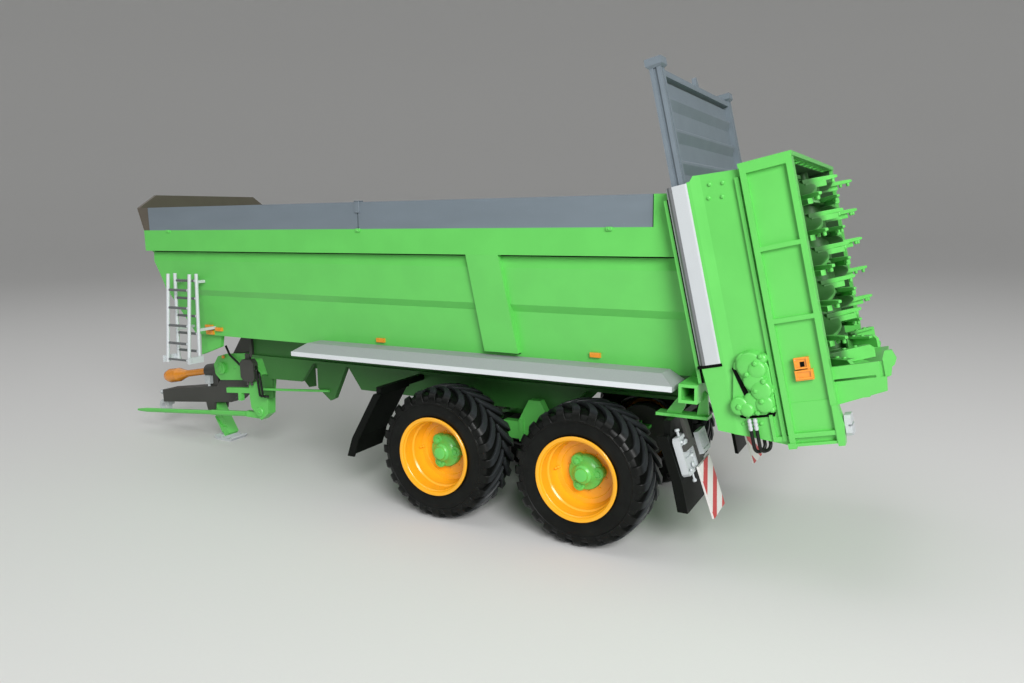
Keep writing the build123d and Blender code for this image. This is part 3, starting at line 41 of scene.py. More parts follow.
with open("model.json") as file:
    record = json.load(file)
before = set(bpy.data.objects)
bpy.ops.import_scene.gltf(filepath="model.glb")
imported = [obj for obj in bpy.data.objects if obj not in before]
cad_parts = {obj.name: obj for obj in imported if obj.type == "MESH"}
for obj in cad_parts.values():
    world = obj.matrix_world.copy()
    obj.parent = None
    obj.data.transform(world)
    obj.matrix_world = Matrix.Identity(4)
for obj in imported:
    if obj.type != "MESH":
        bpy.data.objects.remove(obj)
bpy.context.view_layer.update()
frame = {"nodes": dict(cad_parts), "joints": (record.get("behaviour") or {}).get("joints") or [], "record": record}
JOINTS = {joint["name"]: joint for joint in frame["joints"]}

# ---- places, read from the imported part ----
MM = 0.001
LEFT_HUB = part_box("hub_rear_left")
REAR_AXLE_X = (LEFT_HUB[0].x + LEFT_HUB[1].x) / 2
# tables below are in millimetres, with x = 0 at the rear axle and z = 0 on the ground
TO_SCENE = Matrix.Translation((REAR_AXLE_X, 0, 0)) @ Matrix.Scale(MM, 4)
TO_TABLE = TO_SCENE.inverted()

# the door and everything behind it lean with the beaters, whose shafts stand this
# far behind it; the leaned frame lies in the door's plane (forward, left, up)
SHAFT_BEHIND_DOOR = 24.5
SHAFT = JOINTS["beater_left_spin"]
LEAN = atan2(SHAFT["axis"][0], SHAFT["axis"][2])
SHAFT_FOOT = TO_TABLE @ Vector(SHAFT["pos_m"])
BEATER_Y = SHAFT_FOOT.y
LEANED = (
    Matrix.Translation((SHAFT_FOOT.x, 0, SHAFT_FOOT.z))
    @ Matrix.Rotation(LEAN, 4, "Y")
    @ Matrix.Translation((SHAFT_BEHIND_DOOR, 0, 0))
)
# the ladders' stiles along the body, and how far each stands from their middle
LADDER_MIDDLE = 161.65
LADDER_HALF = 5.85
# the lamps and warning boards hang from a bar behind the rear wheels and lean with
# the mudguard; this frame starts at the bar
TAIL_BAR = (-27.0, 0, 35.5)
TAIL_LEAN = radians(18)
TAIL = Matrix.Translation(TAIL_BAR) @ Matrix.Rotation(TAIL_LEAN, 4, "Y")
# outer face of the rear side plates, inside the ridge that stands out from them
PLATE_RIDGE = 0.9
PLATE_Y = (TO_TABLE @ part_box("rear_side_plates")[1]).y - PLATE_RIDGE
WHEELS = {
    name: TO_TABLE @ Vector(JOINTS[f"wheel_{name}_spin"]["pos_m"])
    for name in ("front_left", "front_right", "rear_left", "rear_right")
}


# ---------------------------------------------------------------- finishes
class Level:
    """A number that varies over a surface; arithmetic on it adds Math nodes."""

    def __init__(self, finish, socket):
        self.finish = finish
        self.socket = socket

    def math(self, operation, *values):
        """Adds a Math node whose sockets take the values in order."""
        return self.finish.node("ShaderNodeMath", {"operation": operation}, dict(enumerate(values)))

    def __add__(self, other):
        return self.math("ADD", self, other)

    __radd__ = __add__

    def __sub__(self, other):
        return self.math("SUBTRACT", self, other)

    def __rsub__(self, other):
        return self.math("SUBTRACT", other, self)

    def __mul__(self, other):
        return self.math("MULTIPLY", self, other)

    __rmul__ = __mul__

    def __truediv__(self, other):
        return self.math("DIVIDE", self, other)

    def __rtruediv__(self, other):
        return self.math("DIVIDE", other, self)

    def __abs__(self):
        return self.math("ABSOLUTE", self)

    def __gt__(self, other):
        return self.math("GREATER_THAN", self, other)

    def __lt__(self, other):
        return self.math("LESS_THAN", self, other)

    def root(self):
        return self.math("SQRT", self)

    def fraction(self):
        """What is left above the whole number."""
        return self.math("FRACT", self)

    def wave(self):
        """Sine wave between 0 and 1."""
        return self.math("SINE", self) * 0.5 + 0.5

    def larger(self, other):
        return self.math("MAXIMUM", self, other)


class Finish:
    """One material, its node tree and the sockets of its shader."""

    def __init__(self, name):
        self.material = bpy.data.materials.new(name)
        self.material.use_nodes = True
        self.tree = self.material.node_tree
        self.shader = self.tree.nodes["Principled BSDF"]
        self.place = self.node("ShaderNodeTexCoord", output="Object")

    def link(self, value, socket):
        """Joins a level to a socket, or sets the socket to a plain value."""
        if isinstance(value, Level):
            self.tree.links.new(value.socket, socket)
        else:
            socket.default_value = value

    def node(self, kind, settings=None, inputs=None, output=0):
        """Adds a node: its settings first, then the values or links of its sockets."""
        made = self.tree.nodes.new(kind)
        for key, value in (settings or {}).items():
            setattr(made, key, value)
        for key, value in (inputs or {}).items():
            self.link(value, made.inputs[key])
        return Level(self, made.outputs[output])

    def set(self, **values):
        """Values or links of the shader's sockets, spaces written as underscores."""
        for key, value in values.items():
            self.link(value, self.shader.inputs[key.replace("_", " ")])

    def noise(self, size, detail=2.0, stretch=None):
        """Noise whose blotches are about `size` millimetres across."""
        vector = self.place
        if stretch:
            vector = self.node("ShaderNodeVectorMath", {"operation": "MULTIPLY"}, {0: vector, 1: stretch})
        inputs = {"Vector": vector, "Scale": 1 / (size * MM), "Detail": detail}
        return self.node("ShaderNodeTexNoise", {}, inputs)

    def ramp(self, level, low, high):
        """0 below the low value, 1 above the high one, smooth between them."""
        return self.node("ShaderNodeMapRange", {"interpolation_type": "SMOOTHSTEP"},
                         {"Value": level, "From Min": low, "From Max": high})

    def mix(self, factor, first, second):
        """Colour between two, each a colour or a link."""
        inputs = {0: factor, 6: first, 7: second}
        return self.node("ShaderNodeMix", {"data_type": "RGBA", "clamp_factor": True}, inputs, output=2)

    def split(self):
        """The place on the surface, in metres along the part's three axes."""
        made = self.tree.nodes.new("ShaderNodeSeparateXYZ")
        self.link(self.place, made.inputs[0])
        return [Level(self, socket) for socket in made.outputs]

    def specks(self, pitch, share):
        """Sparse round specks: 1 inside a speck, 0 elsewhere."""
        spots = self.node("ShaderNodeTexVoronoi", {}, {"Vector": self.place, "Scale": 1 / (pitch * MM)})
        return spots < share

    def bump(self, height, depth, strength):
        """Feeds the shader's normal from a height of 0 to 1 over `depth` millimetres."""
        inputs = {"Height": height, "Distance": depth * MM, "Strength": strength}
        self.set(Normal=self.node("ShaderNodeBump", {}, inputs))


# colours that the finishes add to their own: a painted highlight on the lugs, dust on the tyres, painted shade on
# the backs of the rims, dirt on the boards
LUG_TOP_HIGHLIGHT = (0.028, 0.032, 0.034, 1)
TYRE_DUST = (0.06, 0.064, 0.06, 1)
# painted shade for the backs of the rims
RIM_BACK_SHADE = (0.01, 0.01, 0.01, 1)
BOARD_DIRT = (0.62, 0.55, 0.52, 1)


def tone(colour, factor):
    """The same colour, lighter or darker."""
    return tuple(min(1.0, part * factor) for part in colour[:3]) + (1.0,)


def from_axle(finish, wheel):
    """Distance from a wheel's axle, in metres."""
    x, _, z = finish.split()
    centre = TO_SCENE @ wheel
    ahead, up = x - centre.x, z - centre.z
    return (ahead * ahead + up * up).root()


def cast_paint(name, colour, roughness, coat=0.0):
    """Sprayed paint on die-cast metal: faint mottling, orange peel and dust."""
    finish = Finish(name)
    mottle = finish.noise(11.0, 3.0)
    peel = finish.noise(0.32, 2.0)
    dust = finish.specks(2.1, 0.055)
    base = finish.mix(finish.ramp(mottle, 0.36, 0.66), tone(colour, 0.97), tone(colour, 1.02))
    finish.set(Base_Color=finish.mix(dust * 0.3, base, tone(colour, 1.25)))
    finish.set(Roughness=roughness + (mottle - 0.5) * 0.14 + dust * 0.3)
    finish.set(Coat_Weight=coat, Coat_Roughness=0.12)
    finish.bump(peel, 0.012, 0.55)
    return finish.material


def beater_paint(name, colour, side):
    """The body's paint, with painted shade near the shaft and the paint's own colour out on the tines."""
    finish = Finish(name)
    x, y, z = finish.split()
    foot = TO_SCENE @ LEANED @ Vector((-SHAFT_BEHIND_DOOR, BEATER_Y * side, 0))
    ahead = (x - foot.x) * cos(LEAN) - (z - foot.z) * sin(LEAN)
    aside = y - foot.y
    radius = (ahead * ahead + aside * aside).root()
    cloud = finish.noise(5.0, 3.0)
    peel = finish.noise(0.32, 2.0)
    # painted shade: dark green near the shaft, the paint's own colour further out
    unshaded = finish.ramp(radius + (cloud - 0.5) * (2.0 * MM), 6.8 * MM, 10.0 * MM)
    base = finish.mix(finish.ramp(cloud, 0.36, 0.66), tone(colour, 0.95), tone(colour, 1.03))
    finish.set(Base_Color=finish.mix(unshaded, tone(colour, 0.22), base))
    finish.set(Roughness=0.5 - unshaded * 0.16 + (cloud - 0.5) * 0.14)
    finish.bump(peel, 0.012, 0.55)
    return finish.material


def moulded_plastic(name, colour, roughness, grain=0.2, depth=0.012, shine=0.5):
    """Injection-moulded plastic with a fine grain and slight flow marks."""
    finish = Finish(name)
    flow = finish.noise(6.0, 2.0, stretch=(0.25, 1.0, 1.0))
    texture = finish.noise(grain, 3.0)
    dust = finish.specks(1.7, 0.05)
    base = finish.mix(flow, tone(colour, 0.88), tone(colour, 1.12))
    finish.set(Base_Color=finish.mix(dust * 0.4, base, tone(colour, 1.8)))
    finish.set(Roughness=roughness + (texture - 0.5) * 0.18, Specular_IOR_Level=shine)
    finish.bump(texture, depth, 0.7)
    return finish.material


def silver_lacquer(name, colour, roughness):
    """Metal-flake lacquer: tiny bright flakes under a satin surface."""
    finish = Finish(name)
    flakes = finish.noise(0.16, 1.0)
    cloud = finish.noise(14.0, 3.0)
    base = finish.mix(flakes, tone(colour, 0.86), tone(colour, 1.14))
    finish.set(Base_Color=finish.mix(finish.ramp(cloud, 0.3, 0.7) * 0.35, base, tone(colour, 0.86)))
    finish.set(Metallic=0.1, Roughness=roughness + (flakes - 0.5) * 0.2 + (cloud - 0.5) * 0.1)
    finish.bump(flakes, 0.006, 0.5)
    return finish.material


def skirt_silver(name, colour):
    """Silver lacquer, rough on the top face and smoother on the drop, with painted shade on the top face and
    painted light on the drop.
    """
    finish = Finish(name)
    _, y, _ = finish.split()
    drop = finish.ramp(abs(y), 37.75 * MM, 37.95 * MM)
    flakes = finish.noise(0.2, 2.0)
    cloud = finish.noise(9.0, 3.0)
    # painted shade on the top face and painted light on the drop
    top = finish.mix(flakes, tone(colour, 0.5), tone(colour, 0.7))
    face = finish.mix(cloud, tone(colour, 1.08), tone(colour, 1.26))
    finish.set(Base_Color=finish.mix(drop, top, face))
    finish.set(Roughness=0.62 - drop * 0.15 + (flakes - 0.5) * 0.2, Specular_IOR_Level=0.3)
    finish.bump(flakes, 0.012, 0.6)
    return finish.material


def ladder_silver(name, colour):
    """Silver lacquer on the stiles, with painted shade on the rungs between them."""
    finish = Finish(name)
    x, _, _ = finish.split()
    middle = TO_SCENE @ Vector((LADDER_MIDDLE, 0, 0))
    stile = finish.ramp(abs(x - middle.x), (LADDER_HALF - 1.1) * MM, (LADDER_HALF - 0.85) * MM)
    flakes = finish.noise(0.16, 1.0)
    base = finish.mix(flakes, tone(colour, 0.95), tone(colour, 1.25))
    # painted shade: the rungs are painted much darker than the stiles
    finish.set(Base_Color=finish.mix(stile, tone(colour, 0.22), base))
    finish.set(Metallic=0.1, Roughness=0.45 + (flakes - 0.5) * 0.2)
    finish.bump(flakes, 0.006, 0.5)
    return finish.material


def tyre_rubber(name, colour, wheel):
    """Black rubber: fine rings on the sidewall, a painted highlight on the top of each lug that leaves the rubber
    between the lugs darker, a little dust.
    """
    finish = Finish(name)
    radius = from_axle(finish, wheel)
    rings = (radius * (2 * pi / (0.42 * MM))).wave()
    wall = finish.ramp(radius, 13.6 * MM, 14.2 * MM) * (1 - finish.ramp(radius, 16.0 * MM, 16.5 * MM))
    grain = finish.noise(0.22, 3.0)
    cloud = finish.noise(5.0, 3.0)
    base = finish.mix(finish.ramp(cloud, 0.35, 0.7), tone(colour, 0.5), tone(colour, 0.9))
    dust = finish.ramp(finish.noise(1.4, 4.0), 0.62, 0.8) * 0.15
    # painted highlight: the outermost rubber, the top of each lug, is painted lighter
    lit_lug_tops = finish.ramp(radius, 19.7 * MM, 20.5 * MM)
    base = finish.mix(lit_lug_tops, base, LUG_TOP_HIGHLIGHT)
    finish.set(Base_Color=finish.mix(dust, base, TYRE_DUST))
    finish.set(Roughness=0.34 + (grain - 0.5) * 0.2 + (cloud - 0.5) * 0.16, Specular_IOR_Level=0.17)
    finish.bump(grain * 0.4 + rings * wall * 0.6, 0.03, 0.5)
    return finish.material


def rim_paint(name, colour, wheel):
    """Glossy rim paint over faint turning marks, with painted shade near the hub and, behind the disc, painted
    shade that is near black.
    """
    finish = Finish(name)
    _, y, _ = finish.split()
    radius = from_axle(finish, wheel)
    marks = (radius * (2 * pi / (0.5 * MM))).wave()
    cloud = finish.noise(7.0, 3.0)
    # painted shade: darker towards the hub, down in the dish
    deep = 1 - finish.ramp(radius, 5.0 * MM, 8.5 * MM)
    base = finish.mix(cloud, tone(colour, 0.93), tone(colour, 1.04))
    # painted shade: the rim is painted near black behind its disc
    out = (y - wheel.y * MM) * (1 if wheel.y > 0 else -1)
    back = 1 - finish.ramp(out, -1.6 * MM, -1.0 * MM)
    base = finish.mix(deep * 0.35, base, tone(colour, 0.8))
    finish.set(Base_Color=finish.mix(back, base, RIM_BACK_SHADE))
    finish.set(Roughness=0.24 + (cloud - 0.5) * 0.12, Coat_Weight=0.1, Coat_Roughness=0.08)
    finish.bump(marks * 0.3 + finish.noise(0.35, 2.0) * 0.7, 0.012, 0.5)
    return finish.material


# the warning boards' upper outer corner in the tail's frame, and their printed
# bands: slope, distance from one red band to the next, where the first one lies
BOARD_CORNER = Vector((-2.7, 32.0, -9.5))
BAND_SLOPE = 1.15
BAND_PITCH = 10.2
BAND_SHIFT = 39.1


def board_finish(name, red, white):
    """Red and white slanted bands printed on the warning boards."""
    finish = Finish(name)
    x, y, z = finish.split()
    top = TO_SCENE @ TAIL @ BOARD_CORNER
    across = (top.y - abs(y)) / MM
    down = (top.z - z) / (MM * cos(TAIL_LEAN))
    band = ((across + down * BAND_SLOPE + BAND_SHIFT) / BAND_PITCH).fraction()
    print_grain = finish.noise(0.3, 2.0)
    off = abs(band - 0.5) + (print_grain - 0.5) * 0.02
    worn = finish.ramp(finish.noise(1.6, 4.0), 0.6, 0.78) * 0.25
    behind = (top.x - x) * cos(TAIL_LEAN) + (z - top.z) * sin(TAIL_LEAN)
    edge = 1 - finish.ramp(behind, 0.5 * MM, 0.62 * MM)
    colour = finish.mix(finish.ramp(off, 0.21, 0.225).larger(edge), red, white)
    finish.set(Base_Color=finish.mix(worn, colour, BOARD_DIRT))
    finish.set(Roughness=0.4 + (print_grain - 0.5) * 0.2)
    finish.bump(print_grain, 0.01, 0.4)
    return finish.material


def lens_plastic(name, colour):
    """Ribbed coloured lens."""
    finish = Finish(name)
    _, y, _ = finish.split()
    ribs = (y * (2 * pi / (0.55 * MM))).wave()
    cloud = finish.noise(1.2, 2.0)
    finish.set(Base_Color=finish.mix(cloud, tone(colour, 0.85), tone(colour, 1.1)))
    finish.set(Roughness=0.16 + cloud * 0.1, Coat_Weight=0.5, Coat_Roughness=0.05)
    finish.bump(ribs, 0.05, 0.5)
    return finish.material


def stage_finish(name, colour):
    """Pale matt studio paper that keeps the shadow."""
    finish = Finish(name)
    fibre = finish.noise(1.0, 3.0)
    finish.set(Base_Color=finish.mix(fibre, tone(colour, 0.99), tone(colour, 1.01)), Roughness=0.9)
    finish.set(Specular_IOR_Level=0.2)
    return finish.material


# ---------------------------------------------------------------- mesh tools
def loft(bm, loops, place=Matrix(), ring=False, capped=True):
    """Skin between matching loops of points, capped or joined end to end."""
    rows = [[bm.verts.new(place @ Vector(point)) for point in loop] for loop in loops]
    pairs = list(zip(rows, rows[1:]))
    if ring:
        pairs.append((rows[-1], rows[0]))
    for low, high in pairs:
        for turn in range(len(low)):
            after = (turn + 1) % len(low)
            bm.faces.new((low[turn], low[after], high[after], high[turn]))
    if capped and not ring:
        bm.faces.new(rows[0][::-1])
        bm.faces.new(rows[-1])


def circle(radius, height, sides):
    """Loop of points about Z at one height."""
    turns = [2 * pi * side / sides for side in range(sides)]
    return [(radius * cos(a), radius * sin(a), height) for a in turns]


def turned(bm, profile, place=Matrix(), sides=16):
    """Solid of revolution about Z from (radius, height) points, foot to top."""
    loft(bm, [circle(radius, height, sides) for radius, height in profile], place)


def slab(bm, x, y, z, place=Matrix()):
    """Box between three (low, high) pairs."""
    loops = [[(x[0], y[0], h), (x[1], y[0], h), (x[1], y[1], h), (x[0], y[1], h)] for h in z]
    loft(bm, loops, place)


def prism(bm, outline, depth, place=Matrix()):
    """Outline of (x, y) points, solid between two z values."""
    loft(bm, [[(x, y, h) for x, y in outline] for h in depth], place)


def facing(point, towards):
    """Matrix that puts local Z along a direction at a point."""
    aimed = Vector(towards).to_track_quat("Z", "Y").to_matrix().to_4x4()
    return Matrix.Translation(point) @ aimed


def revolved(bm, section, place, sides):
    """Closed ring about local Z from a closed section of (height, radius) points."""
    loops = []
    for turn in range(sides):
        angle = 2 * pi * turn / sides
        loops.append([(radius * cos(angle), radius * sin(angle), height) for height, radius in section])
    loft(bm, loops, place, ring=True)


def wheel_place(centre):
    """Matrix with local X ahead, Y up and Z out of a wheel's face."""
    side = 1 if centre.y > 0 else -1
    return Matrix(((1, 0, 0, centre.x), (0, 0, side, centre.y), (0, 1, 0, centre.z), (0, 0, 0, 1)))


def hex_bolt(bm, place, radius, tall):
    """Washer, six-sided head with a bevelled top, and the thread's end on it."""
    turned(bm, [(radius * 1.35, -0.15), (radius * 1.35, tall * 0.22)], place, 16)
    head = [circle(r, h, 6) for r, h in ((radius, tall * 0.2), (radius, tall * 0.8), (radius * 0.82, tall))]
    loft(bm, head, place)
    thread = [(radius * 0.5, tall * 0.9), (radius * 0.5, tall * 1.12), (radius * 0.38, tall * 1.2)]
    turned(bm, thread, place, 10)


def rivet(bm, place, radius, tall):
    """Round moulded head."""
    shares = ((1.0, 0.3), (0.86, 0.7), (0.55, 0.94), (0.2, 1.0))
    profile = [(radius, -0.15), *[(radius * wide, tall * high) for wide, high in shares]]
    turned(bm, profile, place, 14)


def at_side(side):
    """Matrix that mirrors a left-hand piece for the right side, and leaves it for the left."""
    return Matrix.Scale(side, 4, (0, 1, 0)) if side < 0 else Matrix()


def piece(name, bm, body, material, bevel=0.0, sharp=35):
    """Turns a mesh in the tables' millimetres into a finished piece of a body."""
    bm.transform(TO_SCENE)
    bmesh.ops.recalc_face_normals(bm, faces=bm.faces)
    mesh = bpy.data.meshes.new(name)
    bm.to_mesh(mesh)
    bm.free()
    mesh.materials.append(material)
    mesh.shade_smooth()
    mesh.set_sharp_from_angle(angle=radians(sharp))
    made = bpy.data.objects.new(name, mesh)
    bpy.context.scene.collection.objects.link(made)
    if bevel:
        modifier = made.modifiers.new("rounded edges", "BEVEL")
        modifier.width = bevel * MM
        modifier.segments = 2
        modifier.limit_method = "ANGLE"
        modifier.angle_limit = radians(30)
    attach(made, body)
    return made


# ---------------------------------------------------------------- settings
def colour_property(name, description, default):
    return bpy.props.FloatVectorProperty(
        name=name, description=description, default=default, size=4, subtype="COLOR", min=0, max=1)


def size_property(name, description, default, low, high):
    return bpy.props.FloatProperty(
        name=name, description=description, default=default * MM, min=low * MM, max=high * MM,
        subtype="DISTANCE", unit="LENGTH", precision=5)


class SpreaderColours(bpy.types.PropertyGroup):
    """Colours of the finishes."""

    green: colour_property("Green paint", "Body, plates and hubs", (0.125, 0.575, 0.105, 1))
    orange: colour_property("Rim paint", "Wheel rims", (0.95, 0.43, 0.015, 1))
    lens: colour_property("Marker orange", "Side markers and the drive shaft's guard", (0.85, 0.3, 0.02, 1))
    slate: colour_property("Slate grey", "Side boards and door", (0.155, 0.19, 0.22, 1))
    charcoal: colour_property("Charcoal", "Drawbar, axles, belt and lamp brackets", (0.05, 0.05, 0.045, 1))
    front: colour_property("Front board", "Front board", (0.1, 0.086, 0.066, 1))
    silver: colour_property("Silver", "Skirts, guides, ladders, lamps and towing eye", (0.55, 0.58, 0.6, 1))
    rubber: colour_property("Tyre rubber", "Tyres", (0.007, 0.008, 0.007, 1))
    black: colour_property("Black plastic", "Mudguards and hoses", (0.005, 0.006, 0.005, 1))
    # colour of the painted shadow along the belt, post, guides and castings and in the markers
    gap: colour_property("Shadow gap", "Gaps along the belt, guides and castings", (0.004, 0.005, 0.004, 1))
    red: colour_property("Board red", "Bands of the warning boards", (0.5, 0.03, 0.03, 1))
    white: colour_property("Board white", "Ground of the warning boards", (0.72, 0.7, 0.68, 1))


class SpreaderSizes(bpy.types.PropertyGroup):
    """Sizes of the added pieces."""

    lug_count: bpy.props.IntProperty(
        name="Tyre lugs", description="Lugs on each shoulder of a tyre", default=24, min=12, max=40)
    lug_width: size_property("Lug width", "Width of a tyre lug at its top", 2.4, 0.8, 3.0)
    lug_sweep: bpy.props.FloatProperty(
        name="Lug sweep", description="How far a lug runs round the tyre from shoulder to centre",
        default=radians(20), min=0, max=radians(60), subtype="ANGLE", unit="ROTATION")
    bolt_radius: size_property("Bolt radius", "Radius of the moulded bolt heads", 0.5, 0.2, 1.2)
    stud_count: bpy.props.IntProperty(
        name="Rim studs", description="Studs on the ring round each hub", default=10, min=4, max=16)


class SpreaderStage(bpy.types.PropertyGroup):
    """Camera, lamps and floor."""

    floor: colour_property("Floor", "Colour of the floor and backdrop", (0.74, 0.74, 0.73, 1))
    world: bpy.props.FloatProperty(
        name="World light", description="Strength of the even light from all round",
        default=0.28, min=0, max=2)
    key: bpy.props.FloatProperty(
        name="Key lamp", description="Power of the lamp behind and left of the machine",
        default=6.9, min=0, subtype="POWER", unit="POWER")
    fill: bpy.props.FloatProperty(
        name="Fill lamp", description="Power of the soft lamp overhead",
        default=2.0, min=0, subtype="POWER", unit="POWER")
    turn: bpy.props.FloatProperty(
        name="Camera turn", description="How far the camera looks forwards from square to the left side",
        default=radians(28.732), subtype="ANGLE", unit="ROTATION")
    tilt: bpy.props.FloatProperty(
        name="Camera tilt", description="How far the camera looks down",
        default=radians(9.098), subtype="ANGLE", unit="ROTATION")
    roll: bpy.props.FloatProperty(
        name="Camera roll", description="How far the camera leans about its own line of sight",
        default=radians(-0.826), subtype="ANGLE", unit="ROTATION")
    lens: bpy.props.FloatProperty(
        name="Focal length", description="Focal length of the lens in millimetres",
        default=27.327, min=10, max=200)


# the finishes made so far, by name
FINISHES = {}


def finish_named(name):
    """A finish by name, made on first use from the chosen colours."""
    if name not in FINISHES:
        FINISHES[name] = make_finish(name)
    return FINISHES[name]


def make_finish(name):
    """The material of a slot, or of one wheel, beater or part with a look of its own."""
    colours = bpy.context.scene.spreader_colours
    if name.startswith("tyre_rubber_"):
        return tyre_rubber(name, colours.rubber, WHEELS[name[len("tyre_rubber_"):]])
    if name.startswith("rim_paint_"):
        return rim_paint(name, colours.orange, WHEELS[name[len("rim_paint_"):]])
    if name.startswith("beater_"):
        return beater_paint(name, colours.green, 1 if name == "beater_left" else -1)
    made = {
        "green_paint": lambda: cast_paint(name, colours.green, 0.34, 0.15),
        "charcoal_grey": lambda: moulded_plastic(name, colours.charcoal, 0.5),
        "slate_grey": lambda: moulded_plastic(name, colours.slate, 0.5, 0.26, 0.014),
        "bright_metal": lambda: silver_lacquer(name, colours.silver, 0.48),
        # painted shade: dark green for the sheets inside the beater housing
        "shade_sheets": lambda: cast_paint(name, tone(colours.green, 0.12), 0.6),
        # painted shade on the front edge of each door guide
        "shaded_guide_edge": lambda: silver_lacquer(name, tone(colours.silver, 0.3), 0.5),
        "front_plastic": lambda: moulded_plastic(name, colours.front, 0.5),
        "ladder_silver": lambda: ladder_silver(name, colours.silver),
        "skirt_silver": lambda: skirt_silver(name, colours.silver),
        # painted shade: the chassis in a darker green
        "green_in_painted_shade": lambda: cast_paint(name, tone(colours.green, 0.3), 0.5),
        "hose_rubber": lambda: moulded_plastic(name, colours.black, 0.4, shine=0.3),
        "orange_plastic": lambda: lens_plastic(name, colours.lens),
        "black_plastic": lambda: moulded_plastic(name, colours.black, 0.38, 0.3, 0.01, 0.08),
        # painted shadow: dark strips where shadow falls along the belt, post, guides and castings, and in the
        # markers
        "painted_shadow": lambda: moulded_plastic(name, colours.gap, 0.8, shine=0.05),
        "board_white": lambda: board_finish(name, colours.red, colours.white),
    }
    return made[name]()


# ---------------------------------------------------------------- operators
class SPREADER_OT_finish_nodes(bpy.types.Operator):
    """Give every carried-over part of the frame its finish"""

    bl_idname = "spreader.finish_nodes"
    bl_label = "Finish the Frame's Parts"

    # parts whose look differs from the rest of their slot; the chassis is a darker green, painted shade
    SPECIAL = {
        "chassis": "green_in_painted_shade", "skirts": "skirt_silver", "front_board": "front_plastic",
        "ladder_fixed": "ladder_silver", "ladder_fold": "ladder_silver",
        "hoses": "hose_rubber", "hoses_front": "hose_rubber", "hoses_rear": "hose_rubber",
    }

    def execute(self, context):
        for part in frame["record"]["subparts"]:
            node = part["node"]
            name = part["material_slot"]
            kind, _, wheel = node.partition("_")
            if kind == "tyre":
                name = f"tyre_rubber_{wheel}"
            if kind == "rim":
                name = f"rim_paint_{wheel}"
            name = self.SPECIAL.get(node, name)
            self.assign(frame["nodes"][node], finish_named(name))
        return {"FINISHED"}

    @staticmethod
    def assign(node, material):
        if not node.material_slots:
            node.data.materials.append(material)
        for slot in node.material_slots:
            slot.material = material


class SPREADER_OT_tyres(bpy.types.Operator):
    """Tyres with swept lugs, rounded shoulders and ringed sidewalls"""

    bl_idname = "spreader.tyres"
    bl_label = "Tyres"

    # half section from the bead to the crown: out from the middle, radius
    SECTION = [
        (7.4, 11.9), (8.1, 12.2), (8.45, 13.0), (8.6, 14.4), (8.62, 16.0), (8.5, 16.75), (8.72, 16.9),
        (8.72, 17.1), (8.45, 17.3), (8.2, 18.1), (7.7, 18.8), (6.6, 19.3), (4.0, 19.55), (0.0, 19.6),
    ]
    # lug stations: out from the middle, base radius, top radius, share of the sweep
    STATIONS = [
        (0.4, 19.2, 20.78, 1.0), (1.6, 19.1, 20.82, 0.74), (3.2, 19.0, 20.82, 0.47), (4.8, 18.9, 20.72, 0.26),
        (6.4, 18.6, 20.5, 0.1), (7.7, 18.0, 19.9, 0.02), (8.5, 17.2, 18.9, 0.0), (8.66, 16.9, 17.9, 0.0),
    ]
    # flat faces round a tyre
    SIDES = 104
    # how much narrower a lug is at the tread's middle, and its flare at the foot
    LUG_TAPER = 0.18
    LUG_FLARE = 0.28

    def execute(self, context):
        for name, centre in WHEELS.items():
            self.build(context.scene.spreader_sizes, name, centre)
        return {"FINISHED"}

    def build(self, sizes, name, centre):
        """Carcass, and lugs on both halves of the tread, half a pitch apart."""
        bm = bmesh.new()
        place = wheel_place(centre)
        mirrored = [(-out, radius) for out, radius in self.SECTION[-2::-1]]
        revolved(bm, [*self.SECTION, *mirrored], place, self.SIDES)
        pitch = 2 * pi / sizes.lug_count
        for turn in range(sizes.lug_count):
            self.lug(bm, sizes, place, pitch * turn, 1)
            self.lug(bm, sizes, place, pitch * (turn + 0.5), -1)
        rubber = finish_named(f"tyre_rubber_{name}")
        tyre = piece(f"tread_{name}", bm, f"wheel_{name}", rubber, bevel=0.16)
        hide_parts(f"tyre_{name}")

    def lug(self, bm, sizes, place, start, half):
        """One swept bar from the shoulder to the middle of the tread."""
        width = sizes.lug_width / MM
        loops = []
        for out, low, high, share in self.STATIONS:
            angle = start - sizes.lug_sweep * share
            along = Vector((cos(angle), sin(angle), 0))
            across = Vector((-sin(angle), cos(angle), 0))
            spread = width * (1.0 - self.LUG_TAPER * share) / 2
            foot = spread + self.LUG_FLARE
            middle = Vector((0, 0, out * half))
            loops.append([
                middle + along * low - across * foot,
                middle + along * low + across * foot,
                middle + along * high + across * spread,
                middle + along * high - across * spread,
            ])
        loft(bm, loops, place)


